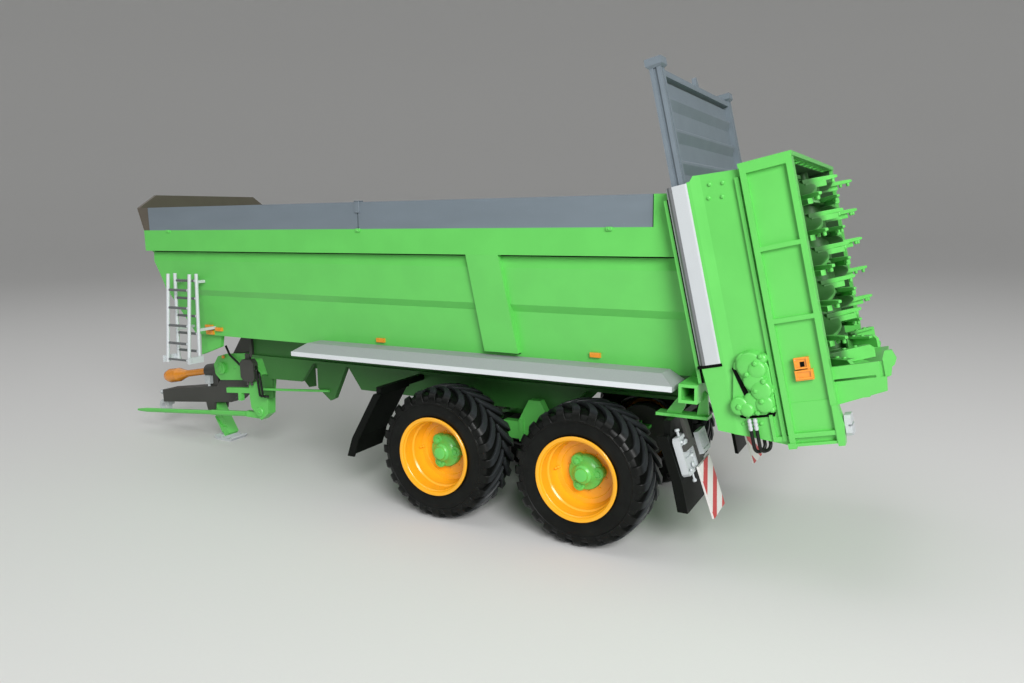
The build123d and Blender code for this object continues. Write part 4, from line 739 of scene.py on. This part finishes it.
class SPREADER_OT_rims(bpy.types.Operator):
    """Deep dished rims with stepped walls, studs and a valve"""

    bl_idname = "spreader.rims"
    bl_label = "Rims"

    # closed section: out from the middle of the tyre, radius
    SECTION = [
        (9.25, 12.35), (9.25, 11.7), (9.05, 11.4), (8.5, 11.3), (8.2, 11.0), (4.6, 10.85), (4.2, 10.4),
        (1.9, 10.25), (1.2, 9.9), (0.6, 9.7), (0.45, 8.3), (0.2, 8.1), (0.2, 4.2), (-0.8, 4.2), (-0.8, 9.6),
        (-1.4, 10.5), (-8.3, 10.9), (-9.1, 11.2), (-9.25, 11.5), (-9.25, 12.35), (-9.1, 12.5), (-8.7, 12.5),
        (-8.4, 12.0), (-7.3, 11.9), (-7.0, 11.5), (7.0, 11.5), (7.3, 11.9), (8.4, 12.0), (8.7, 12.5),
        (9.1, 12.5),
    ]
    # radius of the ring of studs, how far the first one is past straight ahead in
    # shares of their spacing, and the valve stem's profile of radius and height
    STUD_RING = 6.05
    STUD_START = 0.35
    VALVE = [(0.42, -0.3), (0.42, 0.5), (0.28, 0.6), (0.28, 1.7), (0.2, 1.8)]

    def execute(self, context):
        count = context.scene.spreader_sizes.stud_count
        for name, centre in WHEELS.items():
            bm = bmesh.new()
            place = wheel_place(centre)
            revolved(bm, self.SECTION, place, 96)
            for stud in range(count):
                angle = 2 * pi * (stud + self.STUD_START) / count
                point = Vector((self.STUD_RING * cos(angle), self.STUD_RING * sin(angle), 0.2))
                rivet(bm, place @ Matrix.Translation(point), 0.36, 0.3)
            valve = place @ Matrix.Translation((9.0, 0, 0.6)) @ Matrix.Rotation(radians(14), 4, "Y")
            turned(bm, self.VALVE, valve, 12)
            paint = finish_named(f"rim_paint_{name}")
            rim = piece(f"dish_{name}", bm, f"wheel_{name}", paint)
            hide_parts(f"rim_{name}")
        return {"FINISHED"}


class SPREADER_OT_hubs(bpy.types.Operator):
    """Long hubs with three lobes, a cone and a round cap"""

    bl_idname = "spreader.hubs"
    bl_label = "Hubs"

    # closed section: out from the middle of the tyre, radius
    SECTION = [
        (-6.0, 1.56), (-6.0, 3.9), (-5.6, 4.1), (0.2, 4.15), (0.2, 5.0), (0.45, 5.3), (1.5, 5.25),
        (1.9, 4.95), (2.15, 4.1), (3.0, 3.2), (4.1, 2.7), (4.35, 2.25), (4.55, 2.05), (5.0, 2.0),
        (5.2, 1.85), (5.3, 1.5), (5.3, 0.02), (3.3, 0.02), (3.3, 1.56),
    ]
    # a lobe's profile of radius and height, and how far it sits from the axle
    LOBE = [
        (1.95, 0), (1.95, 1.9), (1.75, 2.3), (1.2, 2.5), (1.1, 2.35), (0.85, 2.35), (0.8, 2.7), (0.5, 2.8),
    ]
    LOBE_OUT = 4.1

    def execute(self, context):
        for name, centre in WHEELS.items():
            bm = bmesh.new()
            place = wheel_place(centre)
            revolved(bm, self.SECTION, place, 48)
            for third in range(3):
                turn = place @ Matrix.Rotation(radians(55 + 120 * third), 4, "Z")
                self.lobe(bm, turn)
            hub = piece(f"boss_{name}", bm, f"wheel_{name}", finish_named("green_paint"))
            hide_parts(f"hub_{name}")
        return {"FINISHED"}

    def lobe(self, bm, place):
        """Round lobe with a bolt's end, and the rib that joins it to the cone."""
        out = self.LOBE_OUT
        turned(bm, self.LOBE, place @ Matrix.Translation((out, 0, 0.2)), 24)
        foot = [(1.0, -1.1, 0.4), (out, -1.4, 0.4), (out, 1.4, 0.4), (1.0, 1.1, 0.4)]
        top = [(1.0, -0.8, 4.0), (out, -0.9, 2.5), (out, 0.9, 2.5), (1.0, 0.8, 4.0)]
        loft(bm, [foot, top], place)


class SPREADER_OT_beaters(bpy.types.Operator):
    """Upright beaters: tube, two spiral flights, paired tines, disc and folded paddles"""

    bl_idname = "spreader.beaters"
    bl_label = "Beaters"

    # the flights' foot and top along the shaft, and their rise in one turn
    FOOT, TOP, LEAD = 5.4, 46.6, 17.6
    # radii of the tube, the flights and the paddles' tips
    TUBE, FLIGHT, PADDLE = 4.0, 7.9, 16.9
    TINE_LEVELS = 10
    # profiles of radius and height
    SHAFT = [(1.35, -9.8), (1.6, -9.5), (1.6, 51.4), (1.35, 51.7)]
    DISC = [
        (12.6, -4.2), (13.0, -4.0), (13.0, -3.2), (12.7, -3.0),
        (11.8, -3.0), (11.6, -3.15), (5.0, -3.15), (4.7, -2.6),
    ]
    NUB = [(0.42, -1.15), (0.5, -0.9), (0.5, 0.1)]
    # a tine's sections: out, half width, foot, top
    TINE = [(5.2, 0.85, -0.5, 0.85), (8.8, 0.8, -0.4, 0.85), (14.4, 0.66, -0.2, 0.8), (15.6, 0.42, 0.0, 0.65)]
    # reach of a tine's shorter bar, and of every third one
    SHORT_BAR, SHORTER_BAR = 12.9, 11.2
    # side, how far the flights start round from straight ahead
    BEATERS = {"left": (1, 130), "right": (-1, -130)}

    def execute(self, context):
        for name, (side, start) in self.BEATERS.items():
            bm = bmesh.new()
            place = at_side(side) @ LEANED @ Matrix.Translation((-SHAFT_BEHIND_DOOR, BEATER_Y, 0))
            self.core(bm, place)
            for half in (0, pi):
                self.flight(bm, place, radians(start) + half)
                for level in range(self.TINE_LEVELS):
                    turn = Matrix.Rotation(radians(start + 90 * level) + half, 4, "Z")
                    up = Matrix.Translation((0, 0, self.FOOT + level * self.LEAD / 4))
                    self.tine(bm, place @ up @ turn, level)
            paint = finish_named(f"beater_{name}")
            beater = piece(f"spiral_{name}", bm, f"{name}_beater", paint, bevel=0.14)
            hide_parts(f"beater_{name}")
        return {"FINISHED"}

    def core(self, bm, place):
        """Shaft, tube with collars, and the disc with its paddles."""
        tube = self.TUBE
        turned(bm, self.SHAFT, place, 20)
        turned(bm, [(tube, -4.0), (tube, 47.2), (tube - 0.4, 47.6)], place, 32)
        for low in (-0.2, 3.4, 46.0):
            collar = [(0.5, 0), (0.6, 0.2), (0.6, 0.9), (0.4, 1.1)]
            turned(bm, [(tube + out, low + up) for out, up in collar], place, 32)
        turned(bm, self.DISC, place, 48)
        for paddle in range(4):
            self.paddle(bm, place @ Matrix.Rotation(radians(38 + 90 * paddle), 4, "Z"))

    def paddle(self, bm, place):
        """Folded plate with a stiffener and two bolt ends."""
        tip = self.PADDLE
        plate = [(3.6, -3.1), (tip, -3.1), (tip, -0.6), (tip - 1.2, 0.4), (3.6, 0.4)]
        loft(bm, [[(x, y, z) for x, z in plate] for y in (-0.5, 0.5)], place)
        slab(bm, (6.0, tip - 1.3), (-0.4, 1.7), (-0.3, 0.4), place)
        slab(bm, (7.0, 8.0), (0.3, 2.2), (-3.1, -0.1), place)
        for out in (9.2, 12.4):
            bolt = place @ Matrix.Translation((out, 0.9, 0.35))
            turned(bm, [(0.55, 0), (0.55, 0.3), (0.35, 0.45)], bolt, 12)

    def flight(self, bm, place, start):
        """One spiral flight, thick at the tube and thin at its edge."""
        turns = (self.TOP - self.FOOT) / self.LEAD
        steps = int(turns * 28)
        root = self.TUBE - 0.4
        section = ((root, -0.65), (self.FLIGHT, -0.4), (self.FLIGHT, 0.4), (root, 0.65))
        loops = []
        for step in range(steps + 1):
            share = step / steps
            angle = start + 2 * pi * turns * share
            up = self.FOOT - 0.4 + (self.TOP - self.FOOT) * share
            along = Vector((cos(angle), sin(angle), 0))
            loops.append([along * radius + Vector((0, 0, up + rise)) for radius, rise in section])
        loft(bm, loops, place)

    def tine(self, bm, place, level):
        """Long pointed bar, a shorter one beside and under it, and two nubs."""
        bar = [
            [(out, -wide, low), (out, wide, low), (out, wide, high), (out, -wide, high)]
            for out, wide, low, high in self.TINE
        ]
        loft(bm, bar, place)
        reach = self.SHORT_BAR if level % 3 else self.SHORTER_BAR
        slab(bm, (5.2, reach), (-1.9, -0.5), (-1.7, -0.3), place)
        for out in (reach + 0.6, 14.3):
            turned(bm, self.NUB, place @ Matrix.Translation((out, 0, 0)), 10)


class SPREADER_OT_plate_bolts(bpy.types.Operator):
    """Moulded bolt heads on the rear side plates and the drawbar"""

    bl_idname = "spreader.plate_bolts"
    bl_label = "Bolt Heads"

    # on the side plates: forward, up in the leaned frame
    PLATE = [(-11.0, 48.6), (-14.2, 48.2), (-10.2, 45.4), (-13.5, 45.0), (-8.2, -11.2), (-12.6, -11.6)]
    # on the drawbar's cheeks, hanger and bracket: x, out, z
    FRAME = [(178.4, 6.0, 32.6), (156.8, 5.2, 36.0), (171.0, 5.2, 33.4), (151.6, 11.6, 17.6)]

    def execute(self, context):
        radius = context.scene.spreader_sizes.bolt_radius / MM
        bm = bmesh.new()
        for side in (1, -1):
            mirror = at_side(side)
            for forward, up in self.PLATE:
                point = LEANED @ Vector((forward, PLATE_Y, up))
                rivet(bm, mirror @ facing(point, (0, 1, 0)), radius, 0.45)
        for x, out, z in self.FRAME:
            rivet(bm, facing(Vector((x, out, z)), (0, 1, 0)), radius * 1.2, 0.4)
        piece("bolt_heads", bm, "spreader", finish_named("green_paint"))
        return {"FINISHED"}


class SPREADER_OT_castings(bpy.types.Operator):
    """Lumps and bosses of the beater drive castings, and strips of painted shadow beside them"""

    bl_idname = "spreader.castings"
    bl_label = "Drive Castings"

    # outline of the base: forward, up
    BASE = [
        (-8.8, 4.2), (-10.8, 6.4), (-16.0, 5.9), (-17.1, 2.1), (-17.0, -7.3),
        (-14.4, -9.3), (-9.3, -9.0), (-6.2, -7.2), (-7.1, -4.0),
    ]
    # lumps, then the bosses on them: forward, up, radius, how far out from the plate
    LUMPS = [
        (-12.9, 3.4, 3.3, 2.7), (-14.4, 2.2, 2.2, 3.1), (-13.2, -0.4, 2.6, 2.9), (-14.6, -3.0, 2.5, 3.2),
        (-12.0, -5.6, 2.4, 2.6), (-14.7, -6.4, 2.2, 3.0), (-8.6, -6.3, 2.3, 2.8), (-10.4, -7.4, 1.7, 3.2),
        (-11.4, 4.9, 1.7, 2.4), (-16.0, 4.6, 1.2, 2.5), (-15.8, 5.3, 0.6, 3.1), (-14.4, 3.8, 0.7, 3.5),
        (-11.9, 1.4, 0.65, 3.4), (-15.6, -0.8, 0.7, 3.5), (-13.3, -2.9, 0.6, 3.5), (-14.3, -5.6, 0.7, 3.5),
        (-16.6, -3.4, 0.9, 2.4), (-8.6, -6.4, 0.8, 3.3), (-16.2, -8.0, 0.8, 2.6), (-12.6, -8.4, 0.8, 2.2),
    ]
    # outlines of forward, up with the height each strip of painted shadow reaches
    GAPS = [
        ([(-8.3, 3.2), (-9.3, 2.6), (-11.2, -3.2), (-10.2, -4.2)], 1.45),
        ([(-9.8, -9.0), (-16.6, -9.1), (-16.2, -10.1), (-10.2, -10.0)], 0.2),
        ([(-5.9, -6.9), (-6.6, -9.1), (-9.2, -10.0), (-9.2, -9.3), (-7.2, -8.5), (-6.5, -6.9)], 0.2),
    ]
    # how deep the pieces sit in the plate, and the thickness of the base
    SUNK = 0.1
    BASE_THICKNESS = 1.3

    def execute(self, context):
        lumps, gaps = bmesh.new(), bmesh.new()
        for side in (1, -1):
            lean = at_side(side) @ LEANED
            self.flat(lumps, lean, self.BASE, self.BASE_THICKNESS)
            for forward, up, radius, out in self.LUMPS:
                place = lean @ facing(Vector((forward, PLATE_Y - self.SUNK, up)), (0, 1, 0))
                turned(lumps, self.lump(radius, out), place, 18)
            for outline, height in self.GAPS:
                self.flat(gaps, lean, outline, height)
        paint = finish_named("green_paint")
        casting = piece("casting_lumps", lumps, "spreader", paint, bevel=0.2, sharp=50)
        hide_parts("drive_housings")
        # painted shadow beside the castings
        piece("casting_gaps", gaps, "spreader", finish_named("painted_shadow"))
        return {"FINISHED"}

    def flat(self, bm, place, outline, height):
        """Outline of (forward, up) points raised from the side plate."""
        faces = [[(forward, PLATE_Y + y, up) for forward, up in outline] for y in (-self.SUNK, height)]
        loft(bm, faces, place)

    @staticmethod
    def lump(radius, out):
        """Profile of a lump with a rounded edge."""
        edge = min(0.5, radius * 0.6)
        return [
            (radius * 1.12, 0), (radius, out - edge), (radius * 0.9, out - edge * 0.35),
            (radius * 0.6, out), (radius * 0.2, out + 0.06),
        ]


class SPREADER_OT_painted_shade(bpy.types.Operator):
    """Painted shadow and shade: dark strips along the belt, the post and the guides, dark sheets in the beater
    housing, and darker front edges on the guides
    """

    bl_idname = "spreader.seams"
    bl_label = "Shadow Gaps"

    # body side below the belt: height, half width
    SIDE = [(53.7, 26.55), (66.3, 28.02), (68.6, 29.62), (79.5, 30.62), (83.3, 30.3)]
    # front edge of the slanted post: x at its foot and top, foot's height, rise
    POST_X = (34.6, 38.3)
    POST_FOOT = 53.7
    POST_RISE = 29.7
    # strips of painted shadow as x, y and z ranges: under the belt, and under the slanted post
    BODY_GAPS = [
        ((-25.5, 181.5), (30.2, 30.75), (82.85, 83.35)),
        ((23.2, 34.4), (26.0, 27.2), (53.35, 53.72)),
    ]
    # the same in the leaned frame: ahead of a door guide, and under its foot
    GUIDE_GAPS = [
        ((0.02, 0.6), (36.2, 36.5), (0.0, 47.6)),
        ((-5.9, 0.4), (37.2, 38.5), (3.9, 4.66)),
    ]
    # painted shade, as dark green sheets in the beater housing: inside each wall, and under the roof
    WALL_SHADE_SHEETS = (-30.0, -19.0), (36.55, 36.85), (6.0, 50.3)
    ROOF_SHADE_SHEETS = (-27.9, -19.2), (-36.6, 36.6), (50.15, 50.38)
    # section of the painted shade along each door guide's front edge: forward, left
    GUIDE_EDGE = [(0.06, 37.3), (-1.0, 38.46), (-1.75, 38.46), (-1.75, 38.3), (-1.0, 38.3), (0.0, 37.25)]

    def execute(self, context):
        painted_shade, shade_sheets, edges = bmesh.new(), bmesh.new(), bmesh.new()
        for side in (1, -1):
            mirror = at_side(side)
            for gap in self.BODY_GAPS:
                slab(painted_shade, *gap, mirror)
            loft(painted_shade, [self.strip(z, half) for z, half in self.SIDE], mirror)
            lean = mirror @ LEANED
            for gap in self.GUIDE_GAPS:
                slab(painted_shade, *gap, lean)
            slab(shade_sheets, *self.WALL_SHADE_SHEETS, lean)
            prism(edges, self.GUIDE_EDGE, (4.6, 50.2), lean)
        slab(shade_sheets, *self.ROOF_SHADE_SHEETS, LEANED)
        piece("shadow_gaps", painted_shade, "spreader", finish_named("painted_shadow"))
        piece("housing_shade_sheets", shade_sheets, "spreader", finish_named("shade_sheets"))
        piece("shaded_guide_edges", edges, "spreader", finish_named("shaded_guide_edge"))
        return {"FINISHED"}

    def strip(self, z, half):
        """Section at one height of the thin strip of painted shadow just ahead of the slanted post."""
        foot, top = self.POST_X
        front = foot + (top - foot) * (z - self.POST_FOOT) / self.POST_RISE
        x, y = (front - 0.1, front + 0.32), (half - 0.3, half + 0.08)
        return [(x[0], y[0], z), (x[1], y[0], z), (x[1], y[1], z), (x[0], y[1], z)]


class SPREADER_OT_front_fittings(bpy.types.Operator):
    """Pin, stop and nuts on the drawbar and its eye, and caps under the ladder"""

    bl_idname = "spreader.front_fittings"
    bl_label = "Front Fittings"

    # pin and orange stop on the drawbar's left cheek: x, z
    PIN = (178.4, 32.6)
    STOP = (176.6, 37.6)
    # profiles of radius and height
    PIN_HEAD = [(2.6, 0), (2.6, 0.5), (2.2, 0.7), (1.5, 0.75), (1.4, 1.1), (0.9, 1.25)]
    LADDER_CAP = [(0.85, -0.2), (0.95, 0), (0.95, 0.8), (0.8, 1.0)]
    # how far left the fixed ladder's foot is
    LADDER_FOOT_Y = 34.8

    def execute(self, context):
        bright, green, orange = bmesh.new(), bmesh.new(), bmesh.new()
        self.ladder_ends(bright)
        self.eye_nuts(bright)
        cheek = (TO_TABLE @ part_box("drawbar_cheeks")[1]).y - 0.1
        pin, stop = (facing(Vector((x, cheek, z)), (0, 1, 0)) for x, z in (self.PIN, self.STOP))
        turned(green, self.PIN_HEAD, pin, 24)
        for angle in range(0, 360, 60):
            at = pin @ Matrix.Rotation(radians(angle), 4, "Z") @ Matrix.Translation((2.0, 0, 0.6))
            rivet(green, at, 0.28, 0.3)
        rivet(orange, stop, 0.75, 0.7)
        piece("front_bright", bright, "spreader", finish_named("bright_metal"), bevel=0.05)
        piece("front_pins", green, "spreader", finish_named("green_paint"))
        piece("front_stop", orange, "spreader", finish_named("orange_plastic"))
        return {"FINISHED"}

    def ladder_ends(self, bm):
        """Caps under the fixed ladder's stiles."""
        low = TO_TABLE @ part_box("ladder_fixed")[0]
        for side in (1, -1):
            at = (LADDER_MIDDLE + side * LADDER_HALF, self.LADDER_FOOT_Y, low.z)
            turned(bm, self.LADDER_CAP, Matrix.Translation(at), 14)

    @staticmethod
    def eye_nuts(bm):
        """Collar and nuts above the towing eye."""
        low, high = (TO_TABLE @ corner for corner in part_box("towing_eye"))
        middle = Vector(((low.x + high.x) / 2, 0, high.z - 0.8))
        for side in (1, -1):
            hex_bolt(bm, facing(middle + Vector((0, high.y * side, 0)), (0, side, 0)), 0.9, 0.7)


class SPREADER_OT_lamps(bpy.types.Operator):
    """Lens rings, ribs, studs and frames on the lamps and markers"""

    bl_idname = "spreader.lamps"
    bl_label = "Lamps and Markers"

    # rear face of the lamp plates in the tail's frame, and on it the lens and studs:
    # left, up, and for a stud its radius
    BACK = -1.9
    LENS_AT = (32.6, -3.0)
    STUDS = [(30.4, -6.4, 0.6), (31.6, -8.6, 0.75), (34.4, -9.4, 0.5), (35.4, -1.4, 0.45), (28.9, -1.2, 0.45)]
    # profiles of radius and height
    LENS = [(1.75, -0.1), (1.75, 0.35), (1.45, 0.5), (1.35, 0.25), (0.95, 0.25), (0.8, 0.45), (0.4, 0.5)]
    LOWER_POST = [(0.5, -13.4), (0.65, -13.0), (0.5, -12.6), (0.3, -12.4), (0.3, -10.4)]
    UPPER_POST = [(0.4, -0.2), (0.4, 1.2), (0.7, 1.3), (0.7, 1.9), (0.4, 2.0)]
    # upper and lower block of the housing's marker: forward, up
    MARKERS = [((-26.4, -23.2), (1.0, 3.8)), ((-27.0, -23.0), (-1.5, 0.7))]
    RIM = 0.45
    # painted shade in the marker's window and in the gap under it: forward, left, up
    HOLES = [((-25.5, -24.5), (39.7, 40.02), (1.5, 2.7)), ((-26.0, -23.6), (39.7, 39.99), (0.78, 1.0))]

    def execute(self, context):
        lamps, rims, holes = bmesh.new(), bmesh.new(), bmesh.new()
        for side in (1, -1):
            mirror = at_side(side)
            self.tail_lamp(lamps, mirror @ TAIL)
            lean = mirror @ LEANED
            for forward, up in self.MARKERS:
                self.marker_rim(rims, lean, forward, up)
            for hole in self.HOLES:
                slab(holes, *hole, lean)
        piece("lamp_details", lamps, "spreader", finish_named("bright_metal"), bevel=0.08)
        piece("marker_rims", rims, "spreader", finish_named("orange_plastic"), bevel=0.06)
        # painted shade in the markers' windows
        piece("marker_holes", holes, "spreader", finish_named("painted_shadow"))
        return {"FINISHED"}

    def tail_lamp(self, bm, place):
        """Lens ring, studs, ribs and posts of one lamp, and the ribs of the lamp inside it."""
        back = [facing(Vector((self.BACK, y, z)), (-1, 0, 0)) for y, z, *_ in (self.LENS_AT, *self.STUDS)]
        turned(bm, self.LENS, place @ back[0], 24)
        for at, (_, _, radius) in zip(back[1:], self.STUDS):
            rivet(bm, place @ at, radius, 0.45)
        for z in (-4.9, -5.5, -6.1):
            slab(bm, (self.BACK - 0.22, self.BACK + 0.1), (28.4, 30.4), (z - 0.15, z + 0.15), place)
        for y, post in ((31.4, self.LOWER_POST), (33.6, self.UPPER_POST)):
            turned(bm, post, place @ Matrix.Translation((-1.0, y, 0)), 12)
        for y in (21.4, 22.5, 23.6, 24.7):
            slab(bm, (-4.0, -3.5), (y - 0.2, y + 0.2), (-6.2, -2.4), place)

    def marker_rim(self, bm, place, forward, up):
        """Raised rim round one marker block."""
        for x in ((forward[0], forward[0] + self.RIM), (forward[1] - self.RIM, forward[1])):
            slab(bm, x, (39.6, 40.3), up, place)
        for z in ((up[0], up[0] + self.RIM), (up[1] - self.RIM, up[1])):
            slab(bm, forward, (39.6, 40.28), z, place)


class SPREADER_OT_board_clips(bpy.types.Operator):
    """Clips that hold the side boards' joint and lower edge"""

    bl_idname = "spreader.board_clips"
    bl_label = "Board Clips"

    # where the two boards of a side meet, and the lugs under their lower edge
    JOINT_X = 78.6
    LUGS_X = (JOINT_X, -7.6, 170.0)

    def execute(self, context):
        low, high = (TO_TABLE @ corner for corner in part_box("side_boards"))
        foot, top, out = low.z, high.z, high.y
        joint = (self.JOINT_X - 1.0, self.JOINT_X + 1.0)
        clips, lugs = bmesh.new(), bmesh.new()
        for side in (1, -1):
            mirror = at_side(side)
            slab(clips, joint, (out - 0.1, out + 0.45), (top - 3.4, top + 0.35), mirror)
            slab(clips, joint, (out - 1.9, out - 1.3), (top - 2.4, top + 0.35), mirror)
            slab(clips, joint, (out - 1.9, out + 0.45), (top + 0.05, top + 0.45), mirror)
            for x in self.LUGS_X:
                slab(lugs, (x - 0.9, x + 0.9), (out - 0.1, out + 0.6), (foot - 0.9, foot + 0.15), mirror)
                rivet(lugs, mirror @ facing(Vector((x, out + 0.6, foot - 0.4)), (0, 1, 0)), 0.32, 0.25)
        piece("board_clips", clips, "spreader", finish_named("slate_grey"), bevel=0.1)
        piece("board_lugs", lugs, "spreader", finish_named("green_paint"), bevel=0.12)
        return {"FINISHED"}


class SPREADER_OT_stage(bpy.types.Operator):
    """Floor with a raised rim, soft lamps and the camera"""

    bl_idname = "spreader.stage"
    bl_label = "Stage"

    # floor section: distance from the middle, height, in metres
    RIM = [(0.9, 0.0), (1.3, 0.0), (1.6, 0.03), (1.85, 0.12), (2.05, 0.3), (2.2, 0.6), (2.25, 1.2)]
    # place and width of each lamp, in metres
    KEY_LAMP = (-0.55, 0.56, 0.42), 0.42
    FILL_LAMP = (0.25, 0.1, 1.0), 0.9
    # the camera's place, in the tables' millimetres
    CAMERA_AT = Vector((-85.80, 230.84, 94.16))
    BACKDROP = (0.86, 0.86, 0.86, 1)

    def execute(self, context):
        stage = context.scene.spreader_stage
        self.floor(stage)
        self.world(context, stage)
        self.lamp("key lamp", *self.KEY_LAMP, stage.key)
        self.lamp("fill lamp", *self.FILL_LAMP, stage.fill)
        self.camera(context, stage)
        context.scene.view_settings.view_transform = "Standard"
        return {"FINISHED"}

    def floor(self, stage):
        """Flat disc that curves up into a low wall."""
        bm = bmesh.new()
        loft(bm, [circle(radius, height, 96) for radius, height in self.RIM], capped=False)
        middle = [bm.verts.new(point) for point in circle(self.RIM[0][0], 0.0, 96)]
        bm.faces.new(middle)
        bmesh.ops.remove_doubles(bm, verts=bm.verts, dist=1e-6)
        bmesh.ops.recalc_face_normals(bm, faces=bm.faces)
        mesh = bpy.data.meshes.new("floor")
        bm.to_mesh(mesh)
        bm.free()
        mesh.shade_smooth()
        mesh.materials.append(stage_finish("floor_paper", stage.floor))
        floor = bpy.data.objects.new("floor", mesh)
        bpy.context.scene.collection.objects.link(floor)

    def world(self, context, stage):
        """Even white light, and a pale grey where the background is seen or mirrored."""
        world = bpy.data.worlds.new("studio")
        world.use_nodes = True
        context.scene.world = world
        tree = world.node_tree
        light = tree.nodes["Background"]
        light.inputs["Color"].default_value = (1, 1, 1, 1)
        light.inputs["Strength"].default_value = stage.world
        seen = tree.nodes.new("ShaderNodeBackground")
        seen.inputs["Color"].default_value = self.BACKDROP
        path = tree.nodes.new("ShaderNodeLightPath")
        mixed = tree.nodes.new("ShaderNodeMixShader")
        factor = path.outputs["Is Camera Ray"]
        for kind in ("Is Glossy Ray", "Is Transmission Ray"):
            either = tree.nodes.new("ShaderNodeMath")
            either.operation = "MAXIMUM"
            tree.links.new(factor, either.inputs[0])
            tree.links.new(path.outputs[kind], either.inputs[1])
            factor = either.outputs[0]
        tree.links.new(factor, mixed.inputs[0])
        tree.links.new(light.outputs[0], mixed.inputs[1])
        tree.links.new(seen.outputs[0], mixed.inputs[2])
        tree.links.new(mixed.outputs[0], tree.nodes["World Output"].inputs[0])

    @staticmethod
    def lamp(name, place, size, power):
        """Round lamp aimed at the machine's foot."""
        data = bpy.data.lights.new(name, "AREA")
        data.shape = "DISK"
        data.size = size
        data.energy = power
        made = bpy.data.objects.new(name, data)
        made.location = place
        made.rotation_euler = Vector(place).to_track_quat("Z", "Y").to_euler()
        bpy.context.scene.collection.objects.link(made)

    def camera(self, context, stage):
        """Camera at the left side, from the three angles of the stage's settings."""
        turn, tilt, roll = stage.turn, -stage.tilt, stage.roll
        ahead = Vector((cos(tilt) * sin(turn), -cos(tilt) * cos(turn), sin(tilt)))
        right = ahead.cross(Vector((0, 0, 1))).normalized()
        up = right.cross(ahead)
        right, up = right * cos(roll) + up * sin(roll), up * cos(roll) - right * sin(roll)
        data = bpy.data.cameras.new("camera")
        data.sensor_width = 36
        data.lens = stage.lens
        data.clip_start = 0.005
        data.clip_end = 20
        made = bpy.data.objects.new("camera", data)
        axes = Matrix((right, up, -ahead)).transposed().to_4x4()
        made.matrix_world = Matrix.Translation(TO_SCENE @ self.CAMERA_AT) @ axes
        context.scene.collection.objects.link(made)
        context.scene.camera = made


OPERATORS = [
    SPREADER_OT_finish_nodes,
    SPREADER_OT_tyres,
    SPREADER_OT_rims,
    SPREADER_OT_hubs,
    SPREADER_OT_beaters,
    SPREADER_OT_plate_bolts,
    SPREADER_OT_castings,
    SPREADER_OT_painted_shade,
    SPREADER_OT_lamps,
    SPREADER_OT_front_fittings,
    SPREADER_OT_board_clips,
    SPREADER_OT_stage,
]


class SPREADER_PT_sidebar(bpy.types.Panel):
    """Lists the pieces and their settings in the sidebar"""

    bl_label = "Spreader"
    bl_idname = "SPREADER_PT_sidebar"
    bl_space_type = "VIEW_3D"
    bl_region_type = "UI"
    bl_category = "Spreader"

    def draw(self, context):
        scene = context.scene
        for operator in OPERATORS:
            self.layout.operator(operator.bl_idname)
        for group in (scene.spreader_colours, scene.spreader_sizes, scene.spreader_stage):
            box = self.layout.box()
            for name in group.__annotations__:
                box.prop(group, name)


GROUPS = {
    "spreader_colours": SpreaderColours,
    "spreader_sizes": SpreaderSizes,
    "spreader_stage": SpreaderStage,
}


def register():
    for name, group in GROUPS.items():
        bpy.utils.register_class(group)
        setattr(bpy.types.Scene, name, bpy.props.PointerProperty(type=group))
    for operator in OPERATORS:
        bpy.utils.register_class(operator)
    bpy.utils.register_class(SPREADER_PT_sidebar)


def unregister():
    bpy.utils.unregister_class(SPREADER_PT_sidebar)
    for operator in reversed(OPERATORS):
        bpy.utils.unregister_class(operator)
    for name, group in GROUPS.items():
        delattr(bpy.types.Scene, name)
        bpy.utils.unregister_class(group)


def main():
    register()
    for operator in OPERATORS:
        group, call = operator.bl_idname.split(".")
        getattr(getattr(bpy.ops, group), call)()


if __name__ == "__main__":
    main()
